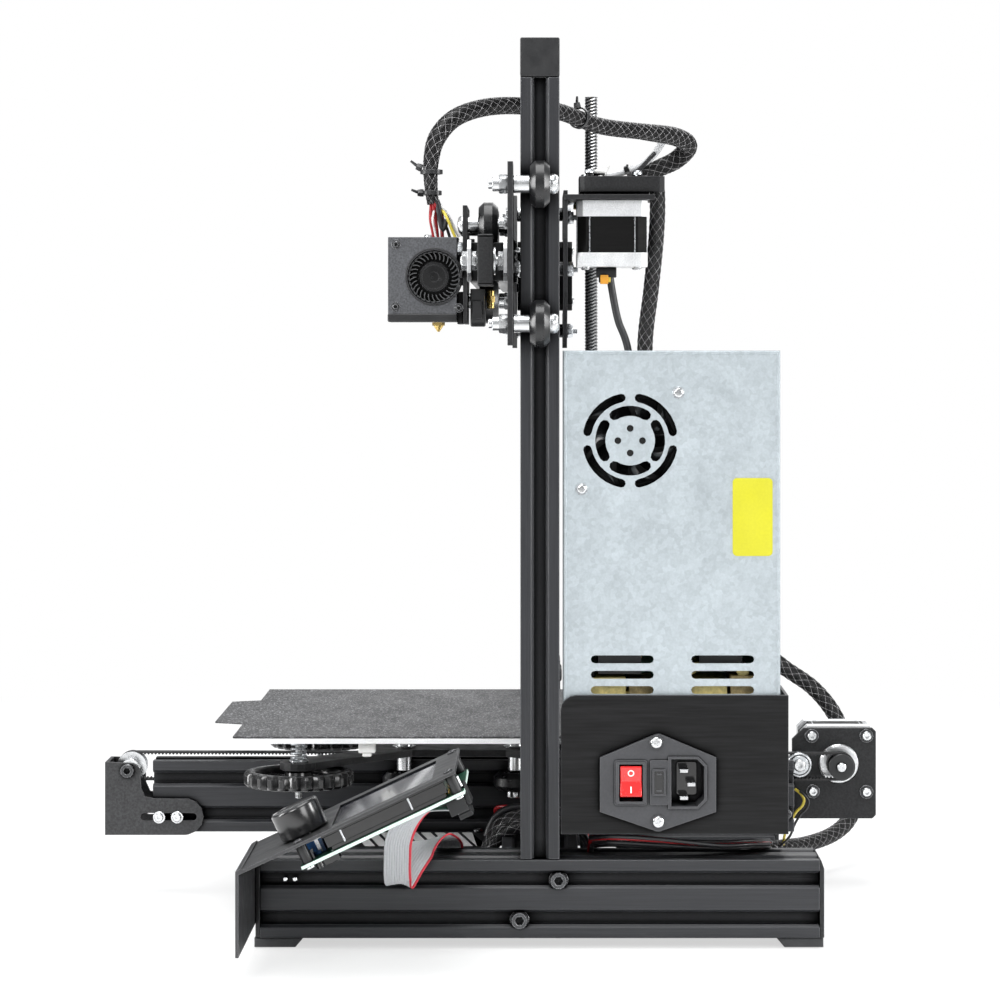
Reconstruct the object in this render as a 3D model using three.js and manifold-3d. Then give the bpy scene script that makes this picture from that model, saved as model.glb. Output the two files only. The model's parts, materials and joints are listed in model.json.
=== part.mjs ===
// Desktop filament printer with a moving bed, a lifting gantry and a cantilevered display.
// Units are millimetres. +X is to the right (display side), +Y is to the back, +Z is up.
// The origin is at the bottom centre of the whole object.
import * as THREE from "three";
import { mergeVertices } from "three/addons/utils/BufferGeometryUtils.js";
import Module from "manifold-3d";

// ---------------------------------------------------------------- spans
// A span is [start, end] along one axis.
const around = (centre, half) => [centre - half, centre + half];
const inset = ([start, end], by) => [start + by, end - by];

// ---------------------------------------------------------------- driving dimensions
const GAP = 0.3; // clearance between neighbouring pieces
const BEAM = 40; // wide side of an extrusion
const BAR = 20; // narrow side of an extrusion
const BEAM_X = 151.5; // centre of each side beam and upright
const BASE_HALF_Y = 143; // half length of a side beam
const BASE_Z0 = 5;
const BASE_Z1 = BASE_Z0 + BEAM;
const BASE_MID_Z = (BASE_Z0 + BASE_Z1) / 2;
const UPRIGHT_TOP = 445;
const TOP_BAR_HALF_X = 168.5;
const RAIL_Z0 = 35; // underside of the bed rail
const RAIL_Y = [-217, BASE_HALF_Y];
const BED_Y = -44.5; // centre of the bed at rest
const BED_HALF = 117.5;
const BED_SCREW = 85; // levelling screws, from the bed's centre along x and y
const WHEEL_RADIUS = 12;
const WHEEL_WIDTH = 10.2;
const WHEEL_STANDOFF = 9.8; // wheel axle to the face it runs on
const WHEEL_OFFSET = BAR / 2 + WHEEL_STANDOFF; // wheel axle to the centreline of a 20 mm side
const AXLE_RADIUS = 2.2;
const SPACER_RADIUS = 3.8;
const GANTRY_Z = 351.2; // centre of the X-beam
const GANTRY_Y = -27;
const LIFT_SCREW = [-152, 31.9]; // x, y of the lead screw and its motor
const CARRIAGE_X = 100; // centre of the hot end carriage at rest
const MOTOR_SIDE = 42.3;
const MOTOR_CHAMFER = 4.2;
const MOTOR_HOLE_RADIUS = 11.4; // clearance for a motor's pilot

const SIDES = [["right", 1], ["left", -1]];
// name, sign along x, sign along y
const CORNERS = [
  ["front_right", 1, -1], ["rear_right", 1, 1],
  ["front_left", -1, -1], ["rear_left", -1, 1],
];

// ---------------------------------------------------------------- materials
const standard = (settings) => new THREE.MeshStandardMaterial(settings);
const MATERIAL = {
  anodised: standard({ color: 0x2c2e31, roughness: 0.42, metalness: 0.7 }),
  blackSteel: standard({ color: 0x1b1c1e, roughness: 0.55, metalness: 0.4 }),
  blackPlastic: standard({ color: 0x151618, roughness: 0.45, metalness: 0 }),
  rubber: standard({ color: 0x101113, roughness: 0.8, metalness: 0 }),
  pom: standard({ color: 0x17181a, roughness: 0.38, metalness: 0 }),
  silver: standard({ color: 0xd0d2d4, roughness: 0.32, metalness: 1 }),
  galvanised: standard({ color: 0xb9c2c8, roughness: 0.42, metalness: 0.85 }),
  motorBody: standard({ color: 0x141416, roughness: 0.5, metalness: 0.5 }),
  aluminium: standard({ color: 0xd9dcde, roughness: 0.35, metalness: 1 }),
  sheet: standard({ color: 0x4a4b4d, roughness: 0.8, metalness: 0 }),
  brass: standard({ color: 0xc9a04a, roughness: 0.3, metalness: 1 }),
  red: standard({ color: 0xd8221d, roughness: 0.35, metalness: 0 }),
  pcbGreen: standard({ color: 0x9fd0b8, roughness: 0.5, metalness: 0 }),
};

// ---------------------------------------------------------------- solids
const wasm = await Module();
wasm.setup();

// A closed three.js geometry as a solid, turned right side out if its triangles face inwards.
function solid(geometry) {
  const bare = geometry.index ? geometry.toNonIndexed() : geometry.clone();
  bare.deleteAttribute("normal");
  bare.deleteAttribute("uv");
  const merged = mergeVertices(bare, 1e-4);
  const make = (flip) => {
    const triVerts = new Uint32Array(merged.index.array);
    if (flip) {
      for (let i = 0; i < triVerts.length; i += 3)
        [triVerts[i + 1], triVerts[i + 2]] = [triVerts[i + 2], triVerts[i + 1]];
    }
    const vertProperties = merged.attributes.position.array;
    return new wasm.Manifold(new wasm.Mesh({ numProp: 3, vertProperties, triVerts }));
  };
  const body = make(false);
  return body.volume() < 0 ? make(true) : body;
}

// A solid's triangles as a geometry with flat normals.
function geometryOf(body) {
  const { numVert, numProp, vertProperties, triVerts } = body.getMesh();
  const positions = new Float32Array(numVert * 3);
  for (let i = 0; i < numVert; i++)
    positions.set(vertProperties.subarray(i * numProp, i * numProp + 3), i * 3);
  const geometry = new THREE.BufferGeometry();
  geometry.setAttribute("position", new THREE.BufferAttribute(positions, 3));
  geometry.setIndex(new THREE.BufferAttribute(new Uint32Array(triVerts), 1));
  const flat = geometry.toNonIndexed();
  flat.computeVertexNormals();
  return flat;
}

const join = (...bodies) => bodies.reduce((sum, body) => sum.add(body));
const cut = (body, ...tools) => tools.reduce((rest, tool) => rest.subtract(tool), body);

// Box from its spans along x, y and z.
function block(...spans) {
  const size = spans.map(([start, end]) => end - start);
  const centre = spans.map(([start, end]) => (start + end) / 2);
  return solid(new THREE.BoxGeometry(...size).translate(...centre));
}

// Turns a geometry made along +y to lie along another axis.
function turnTo(axis, geometry) {
  if (axis === "x") geometry.rotateZ(-Math.PI / 2);
  else if (axis === "z") geometry.rotateX(Math.PI / 2);
  return geometry;
}

// Round bar over a span of an axis; the centre is its other two coordinates in x, y, z order.
function bar(axis, radius, [start, end], [first, second], segments = 20, endRadius = radius) {
  const rod = new THREE.CylinderGeometry(endRadius, radius, end - start, segments);
  const middle = (start + end) / 2;
  const centre = {
    x: [middle, first, second],
    y: [first, middle, second],
    z: [first, second, middle],
  };
  return solid(turnTo(axis, rod).translate(...centre[axis]));
}

// Outline extruded over a span. Points are [y, z] for x, [x, z] for y, [x, y] for z.
function prism(axis, outline, [start, end]) {
  const points = outline.map(([first, second]) =>
    axis === "y" ? new THREE.Vector2(second, first) : new THREE.Vector2(first, second),
  );
  const geometry = new THREE.ExtrudeGeometry(new THREE.Shape(points), {
    depth: end - start,
    bevelEnabled: false,
    steps: 1,
  });
  geometry.translate(0, 0, start);
  const turn = new THREE.Matrix4();
  if (axis === "x") turn.set(0, 0, 1, 0, 1, 0, 0, 0, 0, 1, 0, 0, 0, 0, 0, 1);
  else if (axis === "y") turn.set(0, 1, 0, 0, 0, 0, 1, 0, 1, 0, 0, 0, 0, 0, 0, 1);
  return solid(geometry.applyMatrix4(turn));
}

// Solid of revolution; profile points are [radius, distance along the axis from the centre].
function lathe(axis, profile, centre, segments = 20) {
  const points = profile.map(([radius, along]) => new THREE.Vector2(radius, along));
  return solid(turnTo(axis, new THREE.LatheGeometry(points, segments)).translate(...centre));
}

// ---------------------------------------------------------------- outlines
// Here x and y stand for the outline's own first and second coordinates.
const radians = THREE.MathUtils.degToRad;
const polar = (x, y, radius, angle) => [
  x + radius * Math.cos(angle),
  y + radius * Math.sin(angle),
];

// Points on an arc about (x, y), from and to in degrees.
function arc(x, y, radius, from, to, steps) {
  const points = [];
  for (let i = 0; i <= steps; i++)
    points.push(polar(x, y, radius, radians(from + ((to - from) * i) / steps)));
  return points;
}

// Rectangle with rounded corners.
function rounded([x0, x1], [y0, y1], radius, steps) {
  return [
    ...arc(x1 - radius, y0 + radius, radius, -90, 0, steps),
    ...arc(x1 - radius, y1 - radius, radius, 0, 90, steps),
    ...arc(x0 + radius, y1 - radius, radius, 90, 180, steps),
    ...arc(x0 + radius, y0 + radius, radius, 180, 270, steps),
  ];
}

// T-slot in an extrusion's side: distance along the side, depth
const T_SLOT = [
  [-4.6, 0], [-2.9, 1.8], [-5.2, 1.8], [-5.2, 3.2], [-2.9, 5.6],
  [2.9, 5.6], [5.2, 3.2], [5.2, 1.8], [2.9, 1.8], [4.6, 0],
];

// Section of an extrusion centred at (x, y), with a T-slot every 20 mm.
function slotted(width, height, x, y) {
  const points = [];
  const addSide = (length, start, direction, inward) => {
    points.push(start);
    for (const slotCentre of length === BEAM ? [-BAR / 2, BAR / 2] : [0])
      for (const [along, depth] of T_SLOT) {
        const distance = length / 2 + slotCentre + along;
        points.push(start.map((at, i) => at + direction[i] * distance + inward[i] * depth));
      }
  };
  const [right, top] = [width / 2, height / 2];
  addSide(width, [-right, -top], [1, 0], [0, 1]);
  addSide(height, [right, -top], [0, 1], [-1, 0]);
  addSide(width, [right, top], [-1, 0], [0, -1]);
  addSide(height, [-right, top], [0, -1], [1, 0]);
  return points.map(([px, py]) => [px + x, py + y]);
}

// Square stepper body with cut corners, centred at (x, y).
function motorOutline([x, y]) {
  const half = MOTOR_SIDE / 2;
  const flat = half - MOTOR_CHAMFER;
  return [
    [x - flat, y - half], [x + flat, y - half], [x + half, y - flat], [x + half, y + flat],
    [x + flat, y + half], [x - flat, y + half], [x - half, y + flat], [x - half, y - flat],
  ];
}

const root = new THREE.Group();
root.name = "printer";
function add(name, body, material) {
  const mesh = new THREE.Mesh(geometryOf(body), material);
  mesh.name = name;
  root.add(mesh);
}

// ---------------------------------------------------------------- frame
// end, y span on the ground, y span at the top
const FEET = [
  ["front", [-146, -125], [-146, -121]],
  ["rear", [125, 145], [121, 145]],
];
const FOOT_HALF_X = 18;

function foot(x, ground, top) {
  const height = BASE_Z0 - GAP;
  const outline = [[ground[0], 0], [ground[1], 0], [top[1], height], [top[0], height]];
  return prism("x", outline, around(x, FOOT_HALF_X));
}

for (const [side, sign] of SIDES) {
  const x = sign * BEAM_X;
  const beam = prism("y", slotted(BEAM, BEAM, x, BASE_MID_Z), around(0, BASE_HALF_Y));
  add("base_beam_" + side, beam, MATERIAL.anodised);
  const upright = prism("z", slotted(BEAM, BAR, x, 0), inset([BASE_Z1, UPRIGHT_TOP], GAP));
  add("upright_" + side, upright, MATERIAL.anodised);
  for (const [end, ground, top] of FEET)
    add("foot_" + end + "_" + side, foot(x, ground, top), MATERIAL.rubber);
}

// The crossbeam is milled down in the middle to let the bed rail sit lower.
function crossbeam() {
  const play = 0.4; // milled clearance around the rail
  return cut(
    prism("x", slotted(BEAM, BEAM, 0, BASE_MID_Z), around(0, BEAM_X - BEAM / 2 - GAP)),
    block(around(0, BAR / 2 + play), [-30, 30], [RAIL_Z0 - play, 60]),
  );
}
add("crossbeam", crossbeam(), MATERIAL.anodised);

// The bed rail has a deep channel on top for the lower run of the belt.
function bedRail() {
  return cut(
    prism("y", slotted(BAR, BEAM, 0, RAIL_Z0 + BEAM / 2), RAIL_Y),
    block(around(0, 3.7), inset(RAIL_Y, -5), [60, 90]),
  );
}
add("bed_rail", bedRail(), MATERIAL.anodised);

add(
  "top_bar",
  prism("x", slotted(BAR, BAR, 0, UPRIGHT_TOP + BAR / 2), around(0, TOP_BAR_HALF_X)),
  MATERIAL.anodised,
);

// ---------------------------------------------------------------- power supply
const SUPPLY = { x: [121, 168], y: [12, 123], z: [104, 305], wall: 1.5 };
const FAN = [46.2, 258.9]; // y, z
const FAN_SLOTS = [
  { radius: 22.3, halfWidth: 2.2, from: 11.5, to: 78.5 },
  { radius: 15.3, halfWidth: 2.6, from: -32, to: 32 },
];
const FAN_HOLES = { radius: 1.8, circle: 6.3 };
const VENTS = { y: [[26, 58.3], [77.4, 109.7]], z: [147, 139.1, 131.3], halfHeight: 2.05 };

// Curved slot with round ends about the fan's centre, turned by an angle in degrees.
function fanSlot({ radius, halfWidth, from, to }, turn, span) {
  const [start, end] = [from + turn, to + turn];
  const endCap = arc(...polar(...FAN, radius, radians(end)), halfWidth, end, end + 180, 4);
  const startCap = arc(
    ...polar(...FAN, radius, radians(start)), halfWidth, start + 180, start + 360, 4,
  );
  const outline = [
    ...arc(...FAN, radius + halfWidth, start, end, 7),
    ...endCap.slice(1, -1),
    ...arc(...FAN, radius - halfWidth, end, start, 7),
    ...startCap.slice(1, -1),
  ];
  return prism("x", outline, span);
}

function supplyCase() {
  const { x, y, z, wall } = SUPPLY;
  const through = [x[1] - 2.5, x[1] + 1]; // through the right wall
  const tools = [];
  for (const turn of [0, 90, 180, 270]) {
    for (const slot of FAN_SLOTS) tools.push(fanSlot(slot, turn, through));
    const hole = polar(...FAN, FAN_HOLES.circle, radians(turn));
    tools.push(bar("x", FAN_HOLES.radius, through, hole, 10));
  }
  for (const ventZ of VENTS.z)
    for (const ventY of VENTS.y)
      tools.push(prism("x", rounded(ventY, around(ventZ, VENTS.halfHeight), 2, 2), through));
  const shell = cut(block(x, y, z), block(inset(x, wall), inset(y, wall), inset(z, wall)));
  // mounting tongue below the case
  const tongue = block([x[0], x[0] + wall], y, [90, z[0] + 1]);
  return cut(join(shell, tongue), ...tools);
}
add("power_supply_case", supplyCase(), MATERIAL.galvanised);

// ---------------------------------------------------------------- power socket
const BRACKET_X = 171.2; // outer face of the bracket's side plate
const SOCKET = { y: 60.3, z: 84.8 };

// Folded bracket: side plate with a rounded upper front corner, floor and rear wall.
function socketBracket() {
  const thickness = 1.8;
  const foldX = [121, BRACKET_X - 1];
  const sideOutline = [[10.6, 58], [127, 58], [127, 129], ...arc(18.6, 121, 8, 90, 180, 4)];
  return cut(
    join(
      prism("x", sideOutline, [BRACKET_X - thickness, BRACKET_X]),
      block(foldX, [10.6, 126], [58, 58 + thickness]),
      block(foldX, [127 - thickness, 127], [58, 129]),
    ),
    block([BRACKET_X - 4, BRACKET_X + 2], around(SOCKET.y, 24.5), around(SOCKET.z, 14)),
  );
}
add("socket_bracket", socketBracket(), MATERIAL.blackSteel);

// Flange outline with rounded top and bottom points: y, z
const SOCKET_FLANGE = [
  [30.6, 69.9], ...arc(SOCKET.y, 64.7, 4.8, 240, 300, 4), [89.8, 69.9],
  [89.8, 97.6], ...arc(SOCKET.y, 104.8, 4.8, 60, 120, 4), [30.6, 97.6],
];
// Inlet recess: y, z
const INLET_RECESS = [
  [66.8, 72.6], [80, 72.6], [83.9, 76.5], [83.9, 93.1], [80, 97], [66.8, 97],
];

// Combined inlet: hexagonal flange, body behind it, rocker well and inlet recess.
function powerSocket() {
  const front = BRACKET_X + 5;
  return cut(
    join(
      prism("x", SOCKET_FLANGE, [BRACKET_X + GAP, BRACKET_X + GAP + 3]),
      block([146, BRACKET_X + 1], around(SOCKET.y, 24), around(SOCKET.z, 13.4)),
    ),
    block([160, front], [40.2, 52.6], around(SOCKET.z, 9.6)),
    prism("x", INLET_RECESS, [156, front]),
  );
}
add("power_socket", powerSocket(), MATERIAL.blackPlastic);

// Rocker with a shallow V face: x, z from the socket's centre
const ROCKER = [
  [165, -4], [175.6, -8], [176.2, -7.2], [174.6, 0], [176.2, 7.2], [175.6, 8], [165, 4],
];

// The rocker is tilted at rest, top end pressed in.
function rocker() {
  const pivotX = 169;
  const tilt = radians(6);
  const turned = ROCKER.map(([x, z]) => [
    pivotX + (x - pivotX) * Math.cos(tilt) - z * Math.sin(tilt),
    SOCKET.z + (x - pivotX) * Math.sin(tilt) + z * Math.cos(tilt),
  ]);
  return prism("y", turned, [40.9, 51.9]);
}
add("rocker_switch", rocker(), MATERIAL.red);

// ---------------------------------------------------------------- display
const SLOPE = { y: -144, z: 54.5, run: 102.6, rise: 48 }; // lower front edge and extent
const SLOPE_LENGTH = Math.hypot(SLOPE.run, SLOPE.rise);
const DISPLAY_X = [172.6, 262];
const FRONT_WALL_Y = [-147.1, -145.5];
const KNOB = [233, 32]; // x, distance up the slope
const ON_SLOPE = new THREE.Matrix4()
  .makeTranslation(0, SLOPE.y, SLOPE.z)
  .multiply(new THREE.Matrix4().makeRotationX(Math.atan2(SLOPE.rise, SLOPE.run)));

// A solid drawn flat (y up the slope, z out of it) laid on the display's slope.
const sloped = (body) => solid(geometryOf(body).applyMatrix4(ON_SLOPE));

// Bend between the front wall and the slope: y, z
const PANEL_BEND = [[-147.1, 52], [-145.5, 52], [-143.4, 53.2], [-144.2, 55.3], [-147.1, 53.6]];

function displayPanel() {
  return cut(
    join(
      sloped(block(DISPLAY_X, [-0.9, SLOPE_LENGTH], [-1.6, 0])),
      block(DISPLAY_X, FRONT_WALL_Y, [12, 53.2]),
      block([133, DISPLAY_X[1]], FRONT_WALL_Y, [12, 42]),
      prism("x", PANEL_BEND, DISPLAY_X),
    ),
    sloped(block(inset(DISPLAY_X, 10), [47, 101], [-4, 3])),
    sloped(bar("z", 4.2, [-4, 3], KNOB, 12)),
  );
}
add("display_panel", displayPanel(), MATERIAL.blackSteel);

// Board with the block and shaft under the knob.
function displayBoard() {
  return join(
    sloped(block([177, 258], [26, 113], [-12.8, -11.2])),
    sloped(block(around(KNOB[0], 6.5), around(KNOB[1], 6.4), [-11.6, -4.4])),
    sloped(bar("z", 3, [-5, 9], KNOB, 12)),
  );
}
add("display_board", displayBoard(), MATERIAL.pcbGreen);

// radius, height
const KNOB_PROFILE = [
  [3.3, -0.6], [11.6, -0.6], [12.3, 0.2], [12.3, 12.6], [11.4, 13.6],
  [0, 13.6], [0, 9.8], [3.3, 9.8], [3.3, -0.6],
];
add("display_knob", sloped(lathe("z", KNOB_PROFILE, [...KNOB, 1.2], 28)), MATERIAL.blackPlastic);

// ---------------------------------------------------------------- control box
const BOX = { x: [10, 128], y: [-114, -30], floor: 8, top: 35.5, wall: 1.5 };
// Slanted slots in the cover
const COVER_SLOTS = { count: 9, first: 10, pitch: 7.6, x: [18, 62], rise: 9, width: 4.4 };

function controlTray() {
  const { x, y, floor, wall } = BOX;
  const margin = 2; // tray to the outside of the cover
  const inner = margin + wall;
  return cut(
    block(inset(x, margin), inset(y, margin), [floor, 27]),
    block(inset(x, inner), inset(y, inner), [floor + wall, 30]),
  );
}
add("control_tray", controlTray(), MATERIAL.blackSteel);

function controlCover() {
  const { x, y, top, wall } = BOX;
  const { count, first, pitch, rise, width } = COVER_SLOTS;
  const [left, right] = COVER_SLOTS.x;
  const tools = [block(inset(x, wall), inset(y, wall), [18, top - wall])];
  for (let i = 0; i < count; i++) {
    const front = y[0] + first + i * pitch;
    const outline = [
      [left, front], [right, front + rise],
      [right, front + rise + width], [left, front + width],
    ];
    tools.push(prism("z", outline, [top - 3, top + 2]));
  }
  return cut(block(x, y, [20, top]), ...tools);
}
add("control_cover", controlCover(), MATERIAL.blackSteel);

// ---------------------------------------------------------------- lift motor and screw
add("lift_motor", prism("z", motorOutline(LIFT_SCREW), [46, 80]), MATERIAL.motorBody);
// radius, z; the lower end is wider
const SCREW_PROFILE = [
  [0, 81], [9.5, 84], [9.5, 109], [4, 109.2], [4, 459], [3, 460], [0, 460],
];
add("lead_screw", lathe("z", SCREW_PROFILE, [...LIFT_SCREW, 0], 16), MATERIAL.silver);

// ---------------------------------------------------------------- pulleys and idlers
// Toothed pulley: hub, belt track and two flanges; radius, distance towards the hub
const PULLEY = [
  [0, 9], [7.3, 9], [7.3, 3.7], [6, 3.7], [6, -3.7], [7.3, -3.7], [7.3, -5], [0, -5],
];

// hubSign is the direction of the hub along the axis.
function pulley(axis, hubSign, centre) {
  const profile = PULLEY.map(([radius, along]) => [radius, along * hubSign]);
  return lathe(axis, profile, centre, 18);
}

// Flanged ring for the belt's far end.
function idler(axis, { flange, track, halfTrack, halfWidth }, centre, segments) {
  const bore = 2.6;
  const profile = [
    [bore, -halfWidth], [flange, -halfWidth], [flange, -halfTrack], [track, -halfTrack],
    [track, halfTrack], [flange, halfTrack], [flange, halfWidth], [bore, halfWidth],
    [bore, -halfWidth],
  ];
  return lathe(axis, profile, centre, segments);
}

// ---------------------------------------------------------------- bed drive
const BED_MOTOR = [170, 70.5]; // y, z
const MOTOR_PLATE_X = [-13.3, -10.4];
// y, z
const MOTOR_PLATE = [
  [116, 39.4], [189, 39.4], [191, 41.4], [191, 88.8], [189, 90.8],
  [150, 90.8], [143.4, 84.5], [143.4, 73], [116, 73],
];
const BED_MOTOR_X = [-47.6, MOTOR_PLATE_X[0] - GAP];
add("bed_motor", prism("x", motorOutline(BED_MOTOR), BED_MOTOR_X), MATERIAL.motorBody);
add(
  "bed_motor_plate",
  cut(
    prism("x", MOTOR_PLATE, MOTOR_PLATE_X),
    bar("x", MOTOR_HOLE_RADIUS, [-15, -9], BED_MOTOR, 24),
  ),
  MATERIAL.blackSteel,
);
add("bed_pulley", pulley("x", -1, [0, ...BED_MOTOR]), MATERIAL.blackPlastic);

const BED_IDLER = [-229.5, 71]; // y, z
// Side cheek of the tensioner: y, z
const TENSIONER_CHEEK = [
  [-243.4, 33.6], [-198.4, 33.6], ...arc(-198.4, 43.9, 10.2, -80, 80, 6), [-216, 54.1],
  ...arc(-219, 57.1, 3, 270, 180, 2).slice(1), [-223.4, 60],
  ...arc(-229, 68, 5.6, 10, 80, 3), [-240, 74.4], [-243.4, 74.4],
];

// Two slotted cheeks, a front wall and the idler's pin.
function beltTensioner() {
  const slot = rounded([-223.5, -192], [41.7, 45.9], 2, 3);
  return cut(
    join(
      prism("x", TENSIONER_CHEEK, [11, 13]),
      prism("x", TENSIONER_CHEEK, [-13, -11]),
      block([-12, 12], [-243.4, -241.4], [33.6, 74.4]),
      bar("x", AXLE_RADIUS, [-12.5, 12.5], BED_IDLER, 12),
    ),
    prism("x", slot, [10, 14]),
    prism("x", slot, [-14, -10]),
  );
}
add("belt_tensioner", beltTensioner(), MATERIAL.blackSteel);

const BED_IDLER_SIZE = { flange: 8.2, track: 7.2, halfTrack: 3.6, halfWidth: 4.4 };
add("bed_idler", idler("x", BED_IDLER_SIZE, [0, ...BED_IDLER], 20), MATERIAL.silver);

// ---------------------------------------------------------------- wheels
function addWheel(name, axis, centre) {
  const bore = 2.6;
  const side = WHEEL_RADIUS - 2.9; // radius of the flat sides
  const halfTread = 2.2;
  const half = WHEEL_WIDTH / 2;
  const profile = [
    [bore, -half], [side, -half], [WHEEL_RADIUS, -halfTread],
    [WHEEL_RADIUS, halfTread], [side, half], [bore, half], [bore, -half],
  ];
  add(name, lathe(axis, profile, centre, 18), MATERIAL.pom);
}

// ---------------------------------------------------------------- bed
const BED_CARRIAGE_Z = [80.2, 84];
const BED_PLATE_Z = [97.5, 100.3];
const SHEET_Z = [BED_PLATE_Z[1] + GAP, 101.4];
// name, x, y
const BED_WHEELS = CORNERS.map(([name, signX, signY]) => [
  name, signX * WHEEL_OFFSET, BED_Y + signY * 31,
]);
const bedScrew = (signX, signY) => [signX * BED_SCREW, BED_Y + signY * BED_SCREW];

// Centre plate with an arm to each levelling screw, and the wheel axles below.
function bedCarriage() {
  let body = block([-34, 34], around(BED_Y, 48), BED_CARRIAGE_Z);
  for (const [, signX, signY] of CORNERS) {
    const [x, y] = bedScrew(signX, signY);
    const arm = [
      [signX * 16, BED_Y + signY * 38], [signX * 32, BED_Y + signY * 24],
      [x + signX * 6, y - signY * 7], [x - signX * 7, y + signY * 6],
    ];
    body = join(body, prism("z", arm, BED_CARRIAGE_Z), bar("z", 10, BED_CARRIAGE_Z, [x, y], 16));
    body = cut(body, bar("z", 2.4, [79, 86], [x, y], 10));
  }
  for (const [, x, y] of BED_WHEELS)
    body = join(
      body,
      bar("z", AXLE_RADIUS, [56.5, 81], [x, y], 10),
      bar("z", SPACER_RADIUS, [70.8, 81], [x, y], 12),
      bar("z", 4.4, [56, 59.4], [x, y], 12),
    );
  return body;
}
add("bed_carriage", bedCarriage(), MATERIAL.blackSteel);
for (const [name, x, y] of BED_WHEELS) addWheel("bed_wheel_" + name, "z", [x, y, 65]);

// Square plate with the four levelling screws.
function heatedBed() {
  return join(
    block(around(0, BED_HALF), around(BED_Y, BED_HALF), BED_PLATE_Z),
    ...CORNERS.map(([, signX, signY]) => bar("z", 1.9, [64.5, 98], bedScrew(signX, signY), 10)),
  );
}
add("heated_bed", heatedBed(), MATERIAL.aluminium);

// Square sheet with a tapered tab at the front.
function buildSheet() {
  const [front, back] = around(BED_Y, BED_HALF);
  const tabFront = -178;
  const outline = [
    [-BED_HALF, front], [-57, front], [-50, tabFront], [50, tabFront],
    [57, front], [BED_HALF, front], [BED_HALF, back], [-BED_HALF, back],
  ];
  return prism("z", outline, SHEET_Z);
}
add("build_sheet", buildSheet(), MATERIAL.sheet);

// radius, z
const LEVELLING_KNOB = [
  [2.4, 71], [29.5, 71], [29.5, 79.5], [24, 79.5], [22, 75], [2.4, 75], [2.4, 71],
];
for (const [name, signX, signY] of CORNERS) {
  const knob = lathe("z", LEVELLING_KNOB, [...bedScrew(signX, signY), 0], 20);
  add("levelling_knob_" + name, knob, MATERIAL.blackPlastic);
}

// ---------------------------------------------------------------- gantry
const PLATE_Y = [-16.4, -13.6]; // front plates
const REAR_PLATE_Y = [14.5, 17];
const SHELF_Z = [395, 398]; // shelf under the extruder block
const OUTER_X = BEAM_X + BEAM / 2 + WHEEL_STANDOFF; // wheels on the uprights' outer sides
const INNER_X = BEAM_X - BEAM / 2 - WHEEL_STANDOFF;
const UPPER_Z = 389.5;
const LOWER_Z = 318.7;
const LOWER_Z_LEFT = 317.2;
const MID_Z = (UPPER_Z + LOWER_Z) / 2;
const TRAVERSE_MOTOR = [-195, GANTRY_Z]; // x, z
const TRAVERSE_IDLER_X = 158;
const EXTRUDER = [-124.3, 43.6]; // x, y of the extruder motor
// place, x, z
const LIFT_WHEELS = {
  right: [["upper", OUTER_X, UPPER_Z], ["lower", OUTER_X, LOWER_Z], ["inner", INNER_X, MID_Z]],
  left: [
    ["upper", -OUTER_X, UPPER_Z], ["lower", -OUTER_X, LOWER_Z_LEFT], ["inner", -INNER_X, MID_Z],
  ],
};
// Plate outlines: x, z
const RIGHT_PLATE = [
  [192, 400.5], [166, 400.5], [110.5, 369], [110.5, 340], [166, 307.6], [192, 307.6],
];
const LEFT_PLATE = [
  [-192, 400.5], [-166, 400.5], [-110.5, 369], [-110.5, 340], [-166, 306.5], [-192, 306.5],
  [-192, 330.5], [-215, 330.5], [-215, 372], [-192, 372],
];
const REAR_PLATE = [
  [-192, 400.5], [-100, 400.5], [-100, 372], [-112, 340], [-140, 306.5], [-192, 306.5],
  [-192, 328], [-172, 328], [-172, 374], [-192, 374],
];

add(
  "gantry_beam",
  prism("x", slotted(BAR, BAR, GANTRY_Y, GANTRY_Z), [-178, 144]),
  MATERIAL.anodised,
);

// Wheel axle: shank, spacer and rear nut; outer ones also pass the plate to a front nut.
function axle([place, x, z]) {
  const back = 9;
  const isOuter = place !== "inner";
  const parts = [
    bar("y", AXLE_RADIUS, [isOuter ? -22.6 : PLATE_Y[0], back], [x, z], 10),
    bar("y", SPACER_RADIUS, [PLATE_Y[1] - 1, -5.7], [x, z], 12),
    bar("y", 4.6, [5.8, back], [x, z], 12),
  ];
  if (isOuter) parts.push(bar("y", 4.4, [-20.6, PLATE_Y[0] + 0.5], [x, z], 6));
  return join(...parts);
}

function rightPlate() {
  return join(
    prism("y", RIGHT_PLATE, PLATE_Y),
    ...LIFT_WHEELS.right.map(axle),
    bar("y", AXLE_RADIUS, [-36, PLATE_Y[0] + 1], [TRAVERSE_IDLER_X, GANTRY_Z], 10),
  );
}
add("gantry_plate_right", rightPlate(), MATERIAL.blackSteel);

// Shelf with clearance holes for the extruder motor's pilot and the lead screw.
function extruderShelf() {
  const through = inset(SHELF_Z, -1);
  return cut(
    join(block([-168, -98], [15, 44], SHELF_Z), block([-146.5, -98], [43, 69], SHELF_Z)),
    bar("z", MOTOR_HOLE_RADIUS, through, EXTRUDER, 20),
    bar("z", 5.6, through, LIFT_SCREW, 16),
  );
}

// Front and rear plates tied together by the wheel axles, with the shelf behind.
function leftPlate() {
  const front = cut(
    prism("y", LEFT_PLATE, PLATE_Y),
    bar("y", MOTOR_HOLE_RADIUS, inset(PLATE_Y, -1), TRAVERSE_MOTOR, 20),
  );
  const rear = join(prism("y", REAR_PLATE, REAR_PLATE_Y), extruderShelf());
  const ties = LIFT_WHEELS.left.map((wheel) => {
    const [, x, z] = wheel;
    return join(axle(wheel), bar("y", AXLE_RADIUS, [8, 16], [x, z], 10));
  });
  return join(front, rear, ...ties);
}
add("gantry_plate_left", leftPlate(), MATERIAL.blackSteel);

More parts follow.
